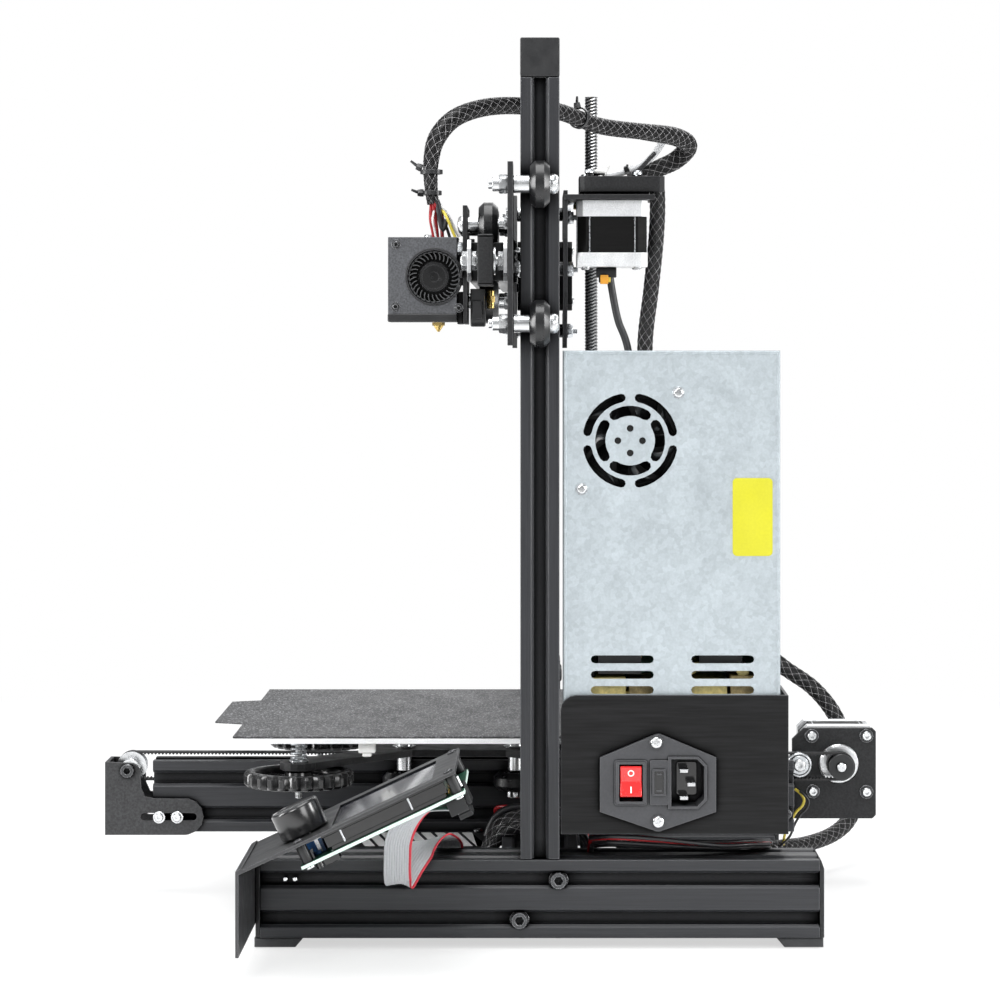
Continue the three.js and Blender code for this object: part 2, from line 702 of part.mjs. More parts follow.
add(
  "traverse_motor",
  prism("y", motorOutline(TRAVERSE_MOTOR), [PLATE_Y[1] + GAP, 20.5]),
  MATERIAL.motorBody,
);
const traverseCentre = [TRAVERSE_MOTOR[0], GANTRY_Y, GANTRY_Z];
add("traverse_pulley", pulley("y", 1, traverseCentre), MATERIAL.blackPlastic);

const TRAVERSE_IDLER_SIZE = { flange: 7.3, track: 6, halfTrack: 3.7, halfWidth: 4.3 };
add(
  "traverse_idler",
  idler("y", TRAVERSE_IDLER_SIZE, [TRAVERSE_IDLER_X, GANTRY_Y, GANTRY_Z], 18),
  MATERIAL.silver,
);

for (const [side] of SIDES)
  for (const [place, x, z] of LIFT_WHEELS[side])
    addWheel("lift_wheel_" + side + "_" + place, "y", [x, 0, z]);

// ---------------------------------------------------------------- extruder
const LEVER_PIVOT = [-109.5, 30]; // x, y
const BLOCK_Z0 = SHELF_Z[1] + GAP;
// x, y
const EXTRUDER_BLOCK = [[-147, 24], [-116.5, 24], [-116.5, 34], [-112, 62], [-112, 66], [-147, 66]];
const LEVER = [
  ...arc(...LEVER_PIVOT, 6.2, 180, 360, 6), [-103.4, 71],
  ...arc(-106.4, 72, 3, 0, 180, 4), [-109.6, 60], [-112.5, 48], [-115.5, 34],
];
add(
  "extruder_motor",
  prism("z", motorOutline(EXTRUDER), [355.1, SHELF_Z[0] - GAP]),
  MATERIAL.motorBody,
);

// Block with a round opening, and the lever's pin on a thin foot.
function extruderBlock() {
  const body = join(
    prism("z", EXTRUDER_BLOCK, [BLOCK_Z0, 409.6]),
    bar("z", 2.2, [403, 411.5], LEVER_PIVOT, 10),
    block([-118, -106], [27, 33], [BLOCK_Z0, 399.4]),
  );
  return join(
    cut(body, bar("z", 6, [400, 412], EXTRUDER, 16)),
    bar("z", 2.4, [BLOCK_Z0, 410.6], LEVER_PIVOT, 10),
  );
}
add("extruder_block", extruderBlock(), MATERIAL.blackPlastic);
add(
  "extruder_lever",
  cut(prism("z", LEVER, [399.8, 409.2]), bar("z", 2.9, [399, 411], LEVER_PIVOT, 12)),
  MATERIAL.aluminium,
);

// ---------------------------------------------------------------- hot end carriage
// name, x, z
const CARRIAGE_WHEELS = [
  ["upper_right", CARRIAGE_X + 22, GANTRY_Z + WHEEL_OFFSET],
  ["upper_left", CARRIAGE_X - 22, GANTRY_Z + WHEEL_OFFSET],
  ["lower", CARRIAGE_X, GANTRY_Z - WHEEL_OFFSET],
];
// x from the carriage's centre, z
const CARRIAGE_PLATE = [[-32, 381], [32, 381], [32, 352], [22, 319], [-22, 319], [-32, 352]];

function carriagePlate() {
  const outline = CARRIAGE_PLATE.map(([x, z]) => [CARRIAGE_X + x, z]);
  const axles = CARRIAGE_WHEELS.flatMap(([, x, z]) => [
    bar("y", AXLE_RADIUS, [-43, -19.8], [x, z], 10),
    bar("y", SPACER_RADIUS, [-39, -32.7], [x, z], 12),
    bar("y", 4.2, [-21.3, -18.6], [x, z], 6),
  ]);
  const shroudArm = block([CARRIAGE_X - 20, CARRIAGE_X - 14], [-44.5, -39], [340, 360]);
  return join(prism("y", outline, [-40.3, -38]), ...axles, shroudArm);
}
add("carriage_plate", carriagePlate(), MATERIAL.blackSteel);
for (const [name, x, z] of CARRIAGE_WHEELS)
  addWheel("carriage_wheel_" + name, "y", [x, GANTRY_Y, z]);

const SHROUD = { x: around(CARRIAGE_X, 25), y: [-79.7, -43.6], z: [320.5, 364.6] };
const BLOWER = [-55.5, 343.7]; // y, z

// Hollow box: hot end bay, open below and behind, blower outlet and mouth, slot for the arm.
function hotEndShroud() {
  const { x, y, z } = SHROUD;
  const right = x[1];
  const wall = 1.5;
  return cut(
    block(x, y, z),
    block([x[0] + wall, right - 16], [y[0] + wall, y[1] + 1], [z[0] - 1, z[1] - wall]),
    block([right - 14.5, right - 2], inset(y, 3), [z[0] - 1, z[0] + 8]),
    bar("x", 14.07, [right - 14.5, right + 1], BLOWER, 32),
    block([CARRIAGE_X - 21, CARRIAGE_X - 13], [y[1] - 3, y[1] + 1], [339, 361]),
  );
}
add("hot_end_shroud", hotEndShroud(), MATERIAL.blackSteel);

// Hub and disc with swept blades.
function blowerImpeller() {
  const bladeCount = 16;
  const root = 9.6; // blade radii
  const tip = 13.2;
  const right = SHROUD.x[1];
  const left = right - 13.8;
  const parts = [
    bar("x", 8, [left, right - 0.4], BLOWER, 24),
    bar("x", tip, [left, left + 1], BLOWER, 24),
  ];
  for (let i = 0; i < bladeCount; i++) {
    const at = (radius, sweep) =>
      polar(...BLOWER, radius, (i * 2 * Math.PI) / bladeCount + sweep);
    const blade = [at(root, 0), at(root, 0.1), at(tip, 0.36), at(tip, 0.28)];
    parts.push(prism("x", blade, [left + 0.5, right - 1.2]));
  }
  return join(...parts);
}
add("blower_impeller", blowerImpeller(), MATERIAL.blackPlastic);

// Heat sink, throat, heater block and nozzle in one stack.
function hotEnd() {
  const x = CARRIAGE_X - 3;
  const sinkY = -58;
  const nozzle = [x, -54];
  return join(
    bar("z", 9, [336, 361], [x, sinkY], 20),
    bar("z", 2, [330, 337], [x, sinkY], 10),
    block(around(x, 8), around(sinkY, 8), [321.5, 331.5]),
    bar("z", 3.4, [318.3, 322.5], nozzle, 6),
    bar("z", 0.6, [315, 318.6], nozzle, 12, 3),
  );
}
add("hot_end", hotEnd(), MATERIAL.brass);

// ---------------------------------------------------------------- origin at the bottom centre
const bounds = new THREE.Box3().setFromObject(root);
const centre = bounds.getCenter(new THREE.Vector3());
root.position.set(-centre.x, -centre.y, -bounds.min.z);
root.updateMatrixWorld(true);

export default root;
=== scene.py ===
import json
import math
import random
import bpy
import bmesh
from mathutils import Matrix, Vector
from mathutils.geometry import tessellate_polygon

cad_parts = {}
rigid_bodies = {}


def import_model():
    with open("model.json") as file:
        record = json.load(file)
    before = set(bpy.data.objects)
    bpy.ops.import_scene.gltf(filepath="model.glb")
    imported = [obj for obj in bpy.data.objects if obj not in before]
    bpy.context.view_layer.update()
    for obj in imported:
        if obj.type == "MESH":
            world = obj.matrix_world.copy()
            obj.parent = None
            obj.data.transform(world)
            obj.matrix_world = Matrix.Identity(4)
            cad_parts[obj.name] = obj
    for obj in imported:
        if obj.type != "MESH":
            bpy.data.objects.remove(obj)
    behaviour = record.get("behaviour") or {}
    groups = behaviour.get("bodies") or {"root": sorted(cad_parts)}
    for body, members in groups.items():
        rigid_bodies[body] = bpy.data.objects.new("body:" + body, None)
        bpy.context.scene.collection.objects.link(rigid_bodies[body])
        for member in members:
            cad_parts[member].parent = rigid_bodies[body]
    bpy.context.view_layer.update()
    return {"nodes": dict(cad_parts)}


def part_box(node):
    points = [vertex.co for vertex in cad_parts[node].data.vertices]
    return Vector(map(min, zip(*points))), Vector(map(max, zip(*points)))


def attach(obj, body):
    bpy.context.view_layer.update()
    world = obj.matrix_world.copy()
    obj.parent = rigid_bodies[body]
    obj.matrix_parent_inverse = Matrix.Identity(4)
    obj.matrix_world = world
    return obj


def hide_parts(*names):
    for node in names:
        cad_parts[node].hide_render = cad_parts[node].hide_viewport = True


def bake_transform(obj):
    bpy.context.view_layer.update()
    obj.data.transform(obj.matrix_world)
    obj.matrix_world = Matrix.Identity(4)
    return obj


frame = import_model()
NODES = frame["nodes"]
S = 0.001

# Every length below is in millimetres about the machine's own centre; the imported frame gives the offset.
_lo, _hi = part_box("base_beam_right")
OX = (_lo.x + _hi.x) / 2 - 0.1515
OY = (_lo.y + _hi.y) / 2


def P(x, y, z):
    return Vector((x * S + OX, y * S + OY, z * S))


def clear_scene_extras():
    for o in list(bpy.data.objects):
        if o.type in ("LIGHT", "CAMERA"):
            bpy.data.objects.remove(o)


clear_scene_extras()


# ------------------------------------------------------------------ mesh building
class Build:
    """Collects faces in millimetres, then makes one object."""

    def __init__(self):
        self.v, self.f, self.m, self.uv = [], [], [], {}
        self.cur = 0
        self.xf = None

    def mat(self, i):
        self.cur = i
        return self

    def verts(self, pts):
        n = len(self.v)
        for p in pts:
            q = Vector(p)
            if self.xf is not None:
                q = self.xf @ q
            self.v.append(q)
        return n

    def face(self, idx):
        self.f.append(list(idx))
        self.m.append(self.cur)

    def box(self, x0, x1, y0, y1, z0, z1):
        n = self.verts(
            [(x, y, z) for z in (z0, z1) for y in (y0, y1) for x in (x0, x1)]
        )
        for q in ((0, 2, 3, 1), (4, 5, 7, 6), (0, 1, 5, 4), (2, 6, 7, 3), (0, 4, 6, 2), (1, 3, 7, 5)):
            self.face([n + i for i in q])
        return self

    @staticmethod
    def _axis(axis, r, t, a):
        c, s = r * math.cos(t), r * math.sin(t)
        return {"x": (a, c, s), "y": (s, a, c), "z": (c, s, a)}[axis]

    def lathe(self, axis, profile, c, seg=32, radial=None, closed=False, phase=0.0):
        """profile: [r, a] pairs, going so that the outside is to the right when r is across and a is up.
        radial(i, t) scales ring i's radius at angle t."""
        c = Vector(c)
        rings = []
        for i, (r, a) in enumerate(profile):
            if r <= 1e-9:
                rings.append([self.verts([Vector(self._axis(axis, 0, 0, a)) + c])])
            else:
                pts = []
                for k in range(seg):
                    t = 2 * math.pi * k / seg + phase
                    rr = r * (radial(i, t) if radial else 1)
                    pts.append(Vector(self._axis(axis, rr, t, a)) + c)
                n = self.verts(pts)
                rings.append(list(range(n, n + seg)))
        pairs = list(zip(rings, rings[1:]))
        if closed:
            pairs.append((rings[-1], rings[0]))
        for a, b in pairs:
            for k in range(seg):
                k2 = (k + 1) % seg
                if len(a) == 1 and len(b) == 1:
                    continue
                if len(a) == 1:
                    self.face([a[0], b[k2], b[k]])
                elif len(b) == 1:
                    self.face([a[k], a[k2], b[0]])
                else:
                    self.face([a[k], a[k2], b[k2], b[k]])
        return self

    def cyl(self, axis, r, a0, a1, c, seg=24, ch=0.0):
        """Solid bar along axis; c is a point on it with that axis's coordinate 0."""
        if ch:
            prof = [(0, a0), (r - ch, a0), (r, a0 + ch), (r, a1 - ch), (r - ch, a1), (0, a1)]
        else:
            prof = [(0, a0), (r, a0), (r, a1), (0, a1)]
        return self.lathe(axis, prof, c, seg)

    def ring(self, axis, r0, r1, a0, a1, c, seg=32, ch=0.0):
        prof = [(r0, a0), (r1 - ch, a0), (r1, a0 + ch), (r1, a1 - ch), (r1 - ch, a1), (r0, a1)] if ch else [(r0, a0), (r1, a0), (r1, a1), (r0, a1)]
        return self.lathe(axis, prof, c, seg, closed=True)

    def prism(self, axis, outer, a0, a1, holes=()):
        """Outline extruded along axis. Points are [y,z] for x, [x,z] for y, [x,y] for z."""

        def to(u, v, a):
            return {"x": (a, u, v), "y": (u, a, v), "z": (u, v, a)}[axis]

        loops = [list(outer)] + [list(h) for h in holes]
        flat = [p for lp in loops for p in lp]
        tris = tessellate_polygon([[Vector((p[0], p[1], 0)) for p in lp] for lp in loops])
        n0 = self.verts([to(p[0], p[1], a0) for p in flat])
        n1 = self.verts([to(p[0], p[1], a1) for p in flat])
        if len(loops) == 1:
            k = len(outer)
            self.face([n0 + i for i in range(k)])
            self.face([n1 + i for i in reversed(range(k))])
        else:
            for t in tris:
                self.face([n0 + i for i in t])
                self.face([n1 + i for i in reversed(t)])
        off = 0
        for lp in loops:
            k = len(lp)
            for i in range(k):
                j = (i + 1) % k
                self.face([n0 + off + i, n1 + off + i, n1 + off + j, n0 + off + j])
            off += k
        return self

    def tube(self, pts, r, seg=12, cap=True, flat=1.0, up=None):
        """Sweeps a circle (squashed by flat across the frame's second axis) along points; r may be a list."""
        pts = [Vector(p) for p in pts]
        rs = r if isinstance(r, (list, tuple)) else [r] * len(pts)
        rings = []
        nrm = None
        for i, p in enumerate(pts):
            a = pts[max(i - 1, 0)]
            b = pts[min(i + 1, len(pts) - 1)]
            t = (b - a).normalized()
            if nrm is None:
                ref = Vector(up) if up else (Vector((0, 0, 1)) if abs(t.z) < 0.9 else Vector((1, 0, 0)))
                nrm = (ref - t * ref.dot(t)).normalized()
            else:
                nrm = (nrm - t * nrm.dot(t)).normalized()
            bi = t.cross(nrm)
            ring = [
                p + (nrm * math.cos(2 * math.pi * k / seg) * flat + bi * math.sin(2 * math.pi * k / seg)) * rs[i]
                for k in range(seg)
            ]
            n = self.verts(ring)
            rings.append(list(range(n, n + seg)))
        for a, b in zip(rings, rings[1:]):
            for k in range(seg):
                k2 = (k + 1) % seg
                self.face([a[k], a[k2], b[k2], b[k]])
        if cap:
            self.face(list(reversed(rings[0])))
            self.face(rings[-1])
        return self

    def make(self, name, body, mats, smooth=35, bevel=0.0, bevel_seg=2, sub=None):
        me = bpy.data.meshes.new(name)
        me.from_pydata([P(*v) for v in self.v], [], self.f)
        for m in mats if isinstance(mats, (list, tuple)) else [mats]:
            me.materials.append(m)
        for i, p in enumerate(me.polygons):
            p.material_index = self.m[i]
        bm = bmesh.new()
        bm.from_mesh(me)
        bmesh.ops.recalc_face_normals(bm, faces=bm.faces)
        bm.to_mesh(me)
        bm.free()
        if smooth:
            for p in me.polygons:
                p.use_smooth = True
            me.set_sharp_from_angle(angle=math.radians(smooth))
        me.validate()
        o = bpy.data.objects.new(name, me)
        bpy.context.scene.collection.objects.link(o)
        if bevel:
            add_bevel(o, bevel, bevel_seg)
        if body:
            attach(o, body)
        return o


def add_bevel(o, width_mm, seg=2, angle=32):
    b = o.modifiers.new("edge", "BEVEL")
    b.width = width_mm * S
    b.segments = seg
    b.limit_method = "ANGLE"
    b.angle_limit = math.radians(angle)
    b.harden_normals = True
    b.use_clamp_overlap = True
    return b


def smooth_path(pts, n=12):
    """Catmull-Rom through the points."""
    pts = [Vector(p) for p in pts]
    out = []
    for i in range(len(pts) - 1):
        p0 = pts[max(i - 1, 0)]
        p1, p2 = pts[i], pts[i + 1]
        p3 = pts[min(i + 2, len(pts) - 1)]
        for k in range(n):
            t = k / n
            out.append(
                0.5 * ((2 * p1) + (p2 - p0) * t + (2 * p0 - 5 * p1 + 4 * p2 - p3) * t * t + (3 * p1 - p0 - 3 * p2 + p3) * t ** 3)
            )
    out.append(pts[-1])
    return out


def arc(u, v, r, a0, a1, n=8):
    return [
        (u + r * math.cos(math.radians(a0 + (a1 - a0) * i / n)), v + r * math.sin(math.radians(a0 + (a1 - a0) * i / n)))
        for i in range(n + 1)
    ]


def rrect(u0, u1, v0, v1, r, n=4):
    return (
        arc(u1 - r, v0 + r, r, -90, 0, n) + arc(u1 - r, v1 - r, r, 0, 90, n)
        + arc(u0 + r, v1 - r, r, 90, 180, n) + arc(u0 + r, v0 + r, r, 180, 270, n)
    )


def hexr(i, t):
    """Radius factor that turns a circle into a hexagon of the same corner radius."""
    a = (t % (math.pi / 3)) - math.pi / 6
    return math.cos(math.pi / 6) / math.cos(a)


# ------------------------------------------------------------------ materials
def material(name, col, rough, metal=0.0, var=0.12, var_scale=35.0, stretch=(1, 1, 1),
             grain=0.0, grain_scale=900.0, bump=0.15, bump_scale=700.0, bump_dist=0.05,
             speck=None, coat=0.0, rough_var=0.08, edge=0.0, edge_col=(0.5, 0.5, 0.52), spec=0.5, painted_shade_reach=0.0):
    """Principled material with large soft variation, fine grain, roughness variation and bump; lengths in 1/m.
    speck = (scale, threshold, colour) adds small flecks; edge paints a pale rim on edges, partly wear and partly a
    painted highlight; the AO distance paints shade into grooves and corners."""
    m = bpy.data.materials.new(name)
    m.use_nodes = True
    nt = m.node_tree
    N, L = nt.nodes, nt.links
    N.clear()
    out = N.new("ShaderNodeOutputMaterial")
    b = N.new("ShaderNodeBsdfPrincipled")
    L.new(b.outputs[0], out.inputs[0])
    tc = N.new("ShaderNodeTexCoord")
    mp = N.new("ShaderNodeMapping")
    mp.inputs["Scale"].default_value = stretch
    L.new(tc.outputs["Object"], mp.inputs[0])

    def noise(scale, detail=3.0):
        n = N.new("ShaderNodeTexNoise")
        n.inputs["Scale"].default_value = scale
        n.inputs["Detail"].default_value = detail
        L.new(mp.outputs[0], n.inputs["Vector"])
        return n

    def mapr(src, a, c):
        r = N.new("ShaderNodeMapRange")
        r.inputs["From Min"].default_value = 0.3
        r.inputs["From Max"].default_value = 0.7
        r.inputs["To Min"].default_value = a
        r.inputs["To Max"].default_value = c
        L.new(src, r.inputs["Value"])
        return r.outputs[0]

    def mul(color_out, factor_out):
        v = N.new("ShaderNodeVectorMath")
        v.operation = "SCALE"
        L.new(color_out, v.inputs[0])
        L.new(factor_out, v.inputs["Scale"])
        return v.outputs[0]

    rgb = N.new("ShaderNodeRGB")
    rgb.outputs[0].default_value = (*col, 1)
    c = mul(rgb.outputs[0], mapr(noise(var_scale, 4).outputs["Fac"], 1 - var, 1 + var))
    fine = noise(grain_scale, 2)
    if grain:
        c = mul(c, mapr(fine.outputs["Fac"], 1 - grain, 1 + grain))
    if speck:
        sn = noise(speck[0], 1)
        gt = N.new("ShaderNodeMapRange")
        gt.inputs["From Min"].default_value = speck[1]
        gt.inputs["From Max"].default_value = speck[1] + 0.04
        L.new(sn.outputs["Fac"], gt.inputs["Value"])
        mx = N.new("ShaderNodeMix")
        mx.data_type = "RGBA"
        L.new(gt.outputs[0], mx.inputs["Factor"])
        L.new(c, mx.inputs["A"])
        mx.inputs["B"].default_value = (*speck[2], 1)
        c = mx.outputs["Result"]
    if edge:
        # pale rim along edges: partly worn edges, partly a painted highlight line
        bv = N.new("ShaderNodeBevel")
        bv.samples = 3
        bv.inputs["Radius"].default_value = 0.0006
        ge = N.new("ShaderNodeNewGeometry")
        dt = N.new("ShaderNodeVectorMath")
        dt.operation = "DOT_PRODUCT"
        L.new(bv.outputs[0], dt.inputs[0])
        L.new(ge.outputs["True Normal"], dt.inputs[1])
        er = N.new("ShaderNodeMapRange")
        er.inputs["From Min"].default_value = 0.995
        er.inputs["From Max"].default_value = 0.80
        er.inputs["To Max"].default_value = edge
        L.new(dt.outputs["Value"], er.inputs["Value"])
        mx = N.new("ShaderNodeMix")
        mx.data_type = "RGBA"
        L.new(er.outputs[0], mx.inputs["Factor"])
        L.new(c, mx.inputs["A"])
        mx.inputs["B"].default_value = (*edge_col, 1)
        c = mx.outputs["Result"]
    b.inputs["Specular IOR Level"].default_value = spec
    if painted_shade_reach:
        # painted shade: an AO node darkens the colour and dulls the specular in grooves and corners
        ao = N.new("ShaderNodeAmbientOcclusion")
        ao.samples = 8
        ao.inputs["Distance"].default_value = painted_shade_reach
        ar = N.new("ShaderNodeMapRange")
        ar.inputs["From Min"].default_value = 0.45
        ar.inputs["From Max"].default_value = 0.92
        ar.inputs["To Min"].default_value = 0.04
        L.new(ao.outputs["AO"], ar.inputs["Value"])
        c = mul(c, ar.outputs[0])
        sm = N.new("ShaderNodeMath")
        sm.operation = "MULTIPLY"
        sm.inputs[1].default_value = spec
        L.new(ar.outputs[0], sm.inputs[0])
        L.new(sm.outputs[0], b.inputs["Specular IOR Level"])
    L.new(c, b.inputs["Base Color"])
    L.new(mapr(noise(var_scale * 3.1, 3).outputs["Fac"], max(rough - rough_var, 0.03), min(rough + rough_var, 1)), b.inputs["Roughness"])
    b.inputs["Metallic"].default_value = metal
    if coat:
        b.inputs["Coat Weight"].default_value = coat
        b.inputs["Coat Roughness"].default_value = 0.12
    if bump:
        bp = N.new("ShaderNodeBump")
        bp.inputs["Strength"].default_value = bump
        bp.inputs["Distance"].default_value = bump_dist * S
        L.new(noise(bump_scale, 2).outputs["Fac"], bp.inputs["Height"])
        L.new(bp.outputs[0], b.inputs["Normal"])
    return m


MAT = {}
# Extrusions: drawn along their length, so one version per direction.
for ax, st in (("x", (0.02, 1, 1)), ("y", (1, 0.02, 1)), ("z", (1, 1, 0.02))):
    MAT["anodised_" + ax] = material(
        "black_anodised_" + ax, (0.024, 0.025, 0.028), 0.34, 0.15, var=0.10, var_scale=60, stretch=st,
        grain=0.16, grain_scale=1600, bump=0.10, bump_scale=2200, bump_dist=0.02, edge=0.50, edge_col=(0.40, 0.41, 0.43), spec=0.42, painted_shade_reach=0.010,
    )
MAT["powder"] = material("black_powder_coat", (0.013, 0.0133, 0.0145), 0.46, 0.0, var=0.10, grain=0.45, grain_scale=950,
                         bump=0.35, bump_scale=1500, bump_dist=0.06, edge=0.30, edge_col=(0.26, 0.26, 0.27), spec=0.34, painted_shade_reach=0.006)
MAT["brushed_black"] = material("black_brushed_plate", (0.0065, 0.0066, 0.0070), 0.40, 0.05, var=0.18, var_scale=160, stretch=(1, 0.05, 1),
                                grain=0.45, grain_scale=800, bump=0.22, bump_scale=1300, bump_dist=0.03, edge=0.35, edge_col=(0.28, 0.28, 0.3), spec=0.22, painted_shade_reach=0.006)
MAT["plastic"] = material("black_moulded_plastic", (0.015, 0.0155, 0.0165), 0.36, 0.0, var=0.08, grain=0.08,
                          bump=0.20, bump_scale=1900, bump_dist=0.03, edge=0.15, edge_col=(0.25, 0.25, 0.26), spec=0.45, painted_shade_reach=0.004)
MAT["socket_plastic"] = material("socket_plastic", (0.044, 0.045, 0.049), 0.42, 0.0, var=0.08, grain=0.1,
                                 bump=0.25, bump_scale=2300, bump_dist=0.03, edge=0.35, edge_col=(0.24, 0.24, 0.25), spec=0.45, painted_shade_reach=0.004)
MAT["gloss"] = material("gloss_black_plastic", (0.005, 0.005, 0.0055), 0.10, 0.0, var=0.10, grain=0.0, bump=0.04, coat=0.5, rough_var=0.05)
MAT["knob_rib"] = material("knob_black_plastic", (0.005, 0.005, 0.0053), 0.20, 0.0, var=0.12, grain=0.06, bump=0.14, bump_scale=1500, coat=0.3, edge=0.2, edge_col=(0.3, 0.3, 0.31), painted_shade_reach=0.003)
MAT["wheel"] = material("wheel_plastic", (0.010, 0.0103, 0.011), 0.30, 0.0, var=0.08, grain=0.06, bump=0.10, bump_scale=1200)
MAT["knob_gloss"] = material("knob_gloss_black", (0.005, 0.005, 0.0055), 0.20, 0.0, var=0.05, grain=0.0, bump=0.0, coat=0.0, rough_var=0.0, spec=0.8)
MAT["rubber"] = material("dull_rubber", (0.032, 0.033, 0.035), 0.75, 0.0, var=0.12, grain=0.15, bump=0.4, bump_scale=1300)
MAT["belt"] = material("belt_rubber", (0.014, 0.014, 0.015), 0.6, 0.0, var=0.1, grain=0.15, bump=0.3, bump_scale=2500)
MAT["steel"] = material("bright_steel", (0.66, 0.67, 0.68), 0.24, 1.0, var=0.08, grain=0.06, grain_scale=2200, bump=0.10, bump_scale=1800, bump_dist=0.02)
MAT["zinc"] = material("zinc_plated_steel", (0.58, 0.60, 0.62), 0.30, 1.0, var=0.14, var_scale=260, grain=0.08, bump=0.12, bump_scale=900, bump_dist=0.02)
MAT["dark_screw"] = material("black_oxide_steel", (0.075, 0.077, 0.080), 0.28, 0.8, var=0.2, var_scale=300, grain=0.1, bump=0.12, edge=0.6, edge_col=(0.6, 0.6, 0.62), painted_shade_reach=0.0035)
MAT["aluminium"] = material("bright_aluminium", (0.72, 0.73, 0.74), 0.30, 1.0, var=0.06, stretch=(1, 0.15, 1), grain=0.08, grain_scale=1500, bump=0.10, bump_scale=1500, bump_dist=0.02)
MAT["bed_plate"] = material("bed_plate_aluminium", (0.86, 0.865, 0.87), 0.42, 0.35, var=0.05, grain=0.06, grain_scale=1500, bump=0.10, bump_scale=1500, bump_dist=0.02)
MAT["shroud"] = material("shroud_powder_coat", (0.072, 0.0745, 0.081), 0.44, 0.1, var=0.10, grain=0.38, grain_scale=1100, bump=0.5, bump_scale=1500, bump_dist=0.07, edge=0.25, edge_col=(0.3, 0.3, 0.31))
MAT["motor_cap"] = material("motor_cast_cap", (0.76, 0.77, 0.78), 0.42, 0.6, var=0.08, var_scale=120, grain=0.14, grain_scale=1500, bump=0.4, bump_scale=1500, bump_dist=0.05, edge=0.3, edge_col=(0.85, 0.85, 0.86))
MAT["motor_black"] = material("motor_laminations", (0.003, 0.003, 0.003), 0.55, 0.0, var=0.15, stretch=(1, 1, 6), grain=0.25, grain_scale=1000, bump=0.35, bump_scale=700, bump_dist=0.03, spec=0.14)
MAT["brass"] = material("plain_brass", (0.62, 0.45, 0.16), 0.28, 1.0, var=0.12, var_scale=200, grain=0.06, bump=0.1)
MAT["red"] = material("rocker_red", (0.72, 0.012, 0.012), 0.25, 0.0, var=0.06, grain=0.03, bump=0.05, coat=0.6)
MAT["white"] = material("white_plastic", (0.82, 0.82, 0.80), 0.38, 0.0, var=0.04, grain=0.03, bump=0.1)
MAT["tube"] = material("white_tube", (0.62, 0.63, 0.64), 0.30, 0.0, var=0.03, grain=0.02, bump=0.05, coat=0.2)
# white sheet for the control box's vents: a painted stand-in for bright backdrop light seen through them
MAT["insulator"] = material("vent_painted_backdrop_light", (0.93, 0.93, 0.93), 0.5, 0.0, var=0.03, grain=0.03, bump=0.1)
MAT["yellow"] = material("yellow_label", (0.51, 0.485, 0.014), 0.42, 0.0, var=0.05, grain=0.03, bump=0.08)
MAT["orange"] = material("orange_connector", (0.80, 0.36, 0.03), 0.4, 0.0, var=0.1, grain=0.05, bump=0.12)
MAT["board_green"] = material("board_edge_green", (0.60, 0.74, 0.67), 0.45, 0.0, var=0.12, var_scale=200, grain=0.1, bump=0.15)
MAT["board_dark"] = material("board_dark_green", (0.02, 0.11, 0.06), 0.4, 0.0, var=0.25, var_scale=300, grain=0.2, bump=0.2)
MAT["blue"] = material("encoder_blue", (0.02, 0.13, 0.38), 0.35, 0.0, var=0.12, grain=0.05, bump=0.1)
MAT["wire_red"] = material("wire_red", (0.34, 0.008, 0.012), 0.38, 0.0, var=0.1, grain=0.03, bump=0.08)
MAT["wire_black"] = material("wire_black", (0.018, 0.018, 0.02), 0.4, 0.0, var=0.1, grain=0.05, bump=0.1)
MAT["wire_yellow"] = material("wire_yellow", (0.75, 0.60, 0.08), 0.38, 0.0, var=0.1, grain=0.03, bump=0.08)
MAT["wire_white"] = material("wire_white", (0.75, 0.75, 0.74), 0.4, 0.0, var=0.06, grain=0.03, bump=0.08)
MAT["wire_blue"] = material("wire_blue", (0.03, 0.08, 0.35), 0.4, 0.0, var=0.1, grain=0.03, bump=0.08)
MAT["sleeve"] = material("sleeve_core", (0.012, 0.012, 0.013), 0.6, 0.0, var=0.3, var_scale=120, grain=0.2, bump=0.3)
MAT["braid"] = material("sleeve_braid", (0.012, 0.0118, 0.012), 0.34, 0.0, var=0.45, var_scale=260, grain=0.1, bump=0.15, spec=0.4)
MAT["silicone"] = material("grey_ribbon", (0.50, 0.51, 0.53), 0.45, 0.0, var=0.06, grain=0.05, bump=0.1)
MAT["ribbon_red"] = material("ribbon_red_edge", (0.60, 0.03, 0.05), 0.45, 0.0, var=0.06, grain=0.05, bump=0.1)
MAT["label_plain"] = material("dark_inside", (0.004, 0.004, 0.005), 0.7, 0.0, var=0.2, grain=0.1, bump=0.1)
MAT["sheet"] = material("build_sheet_coating", (0.034, 0.0345, 0.036), 0.60, 0.0, var=0.05, var_scale=30, stretch=(0.45, 1, 1), grain=0.50, grain_scale=1100,
                        bump=0.8, bump_scale=1000, bump_dist=0.10, speck=(1050, 0.57, (0.17, 0.17, 0.178)))
MAT["coil"] = material("copper_windings", (0.55, 0.25, 0.10), 0.35, 0.9, var=0.2, var_scale=300, grain=0.1, bump=0.3)
MAT["cap_foil"] = material("foil_yellow", (0.62, 0.52, 0.20), 0.4, 0.0, var=0.2, var_scale=300, grain=0.1, bump=0.2)
MAT["tan_board"] = material("tan_board", (0.35, 0.27, 0.12), 0.5, 0.0, var=0.3, var_scale=200, grain=0.2, bump=0.2)


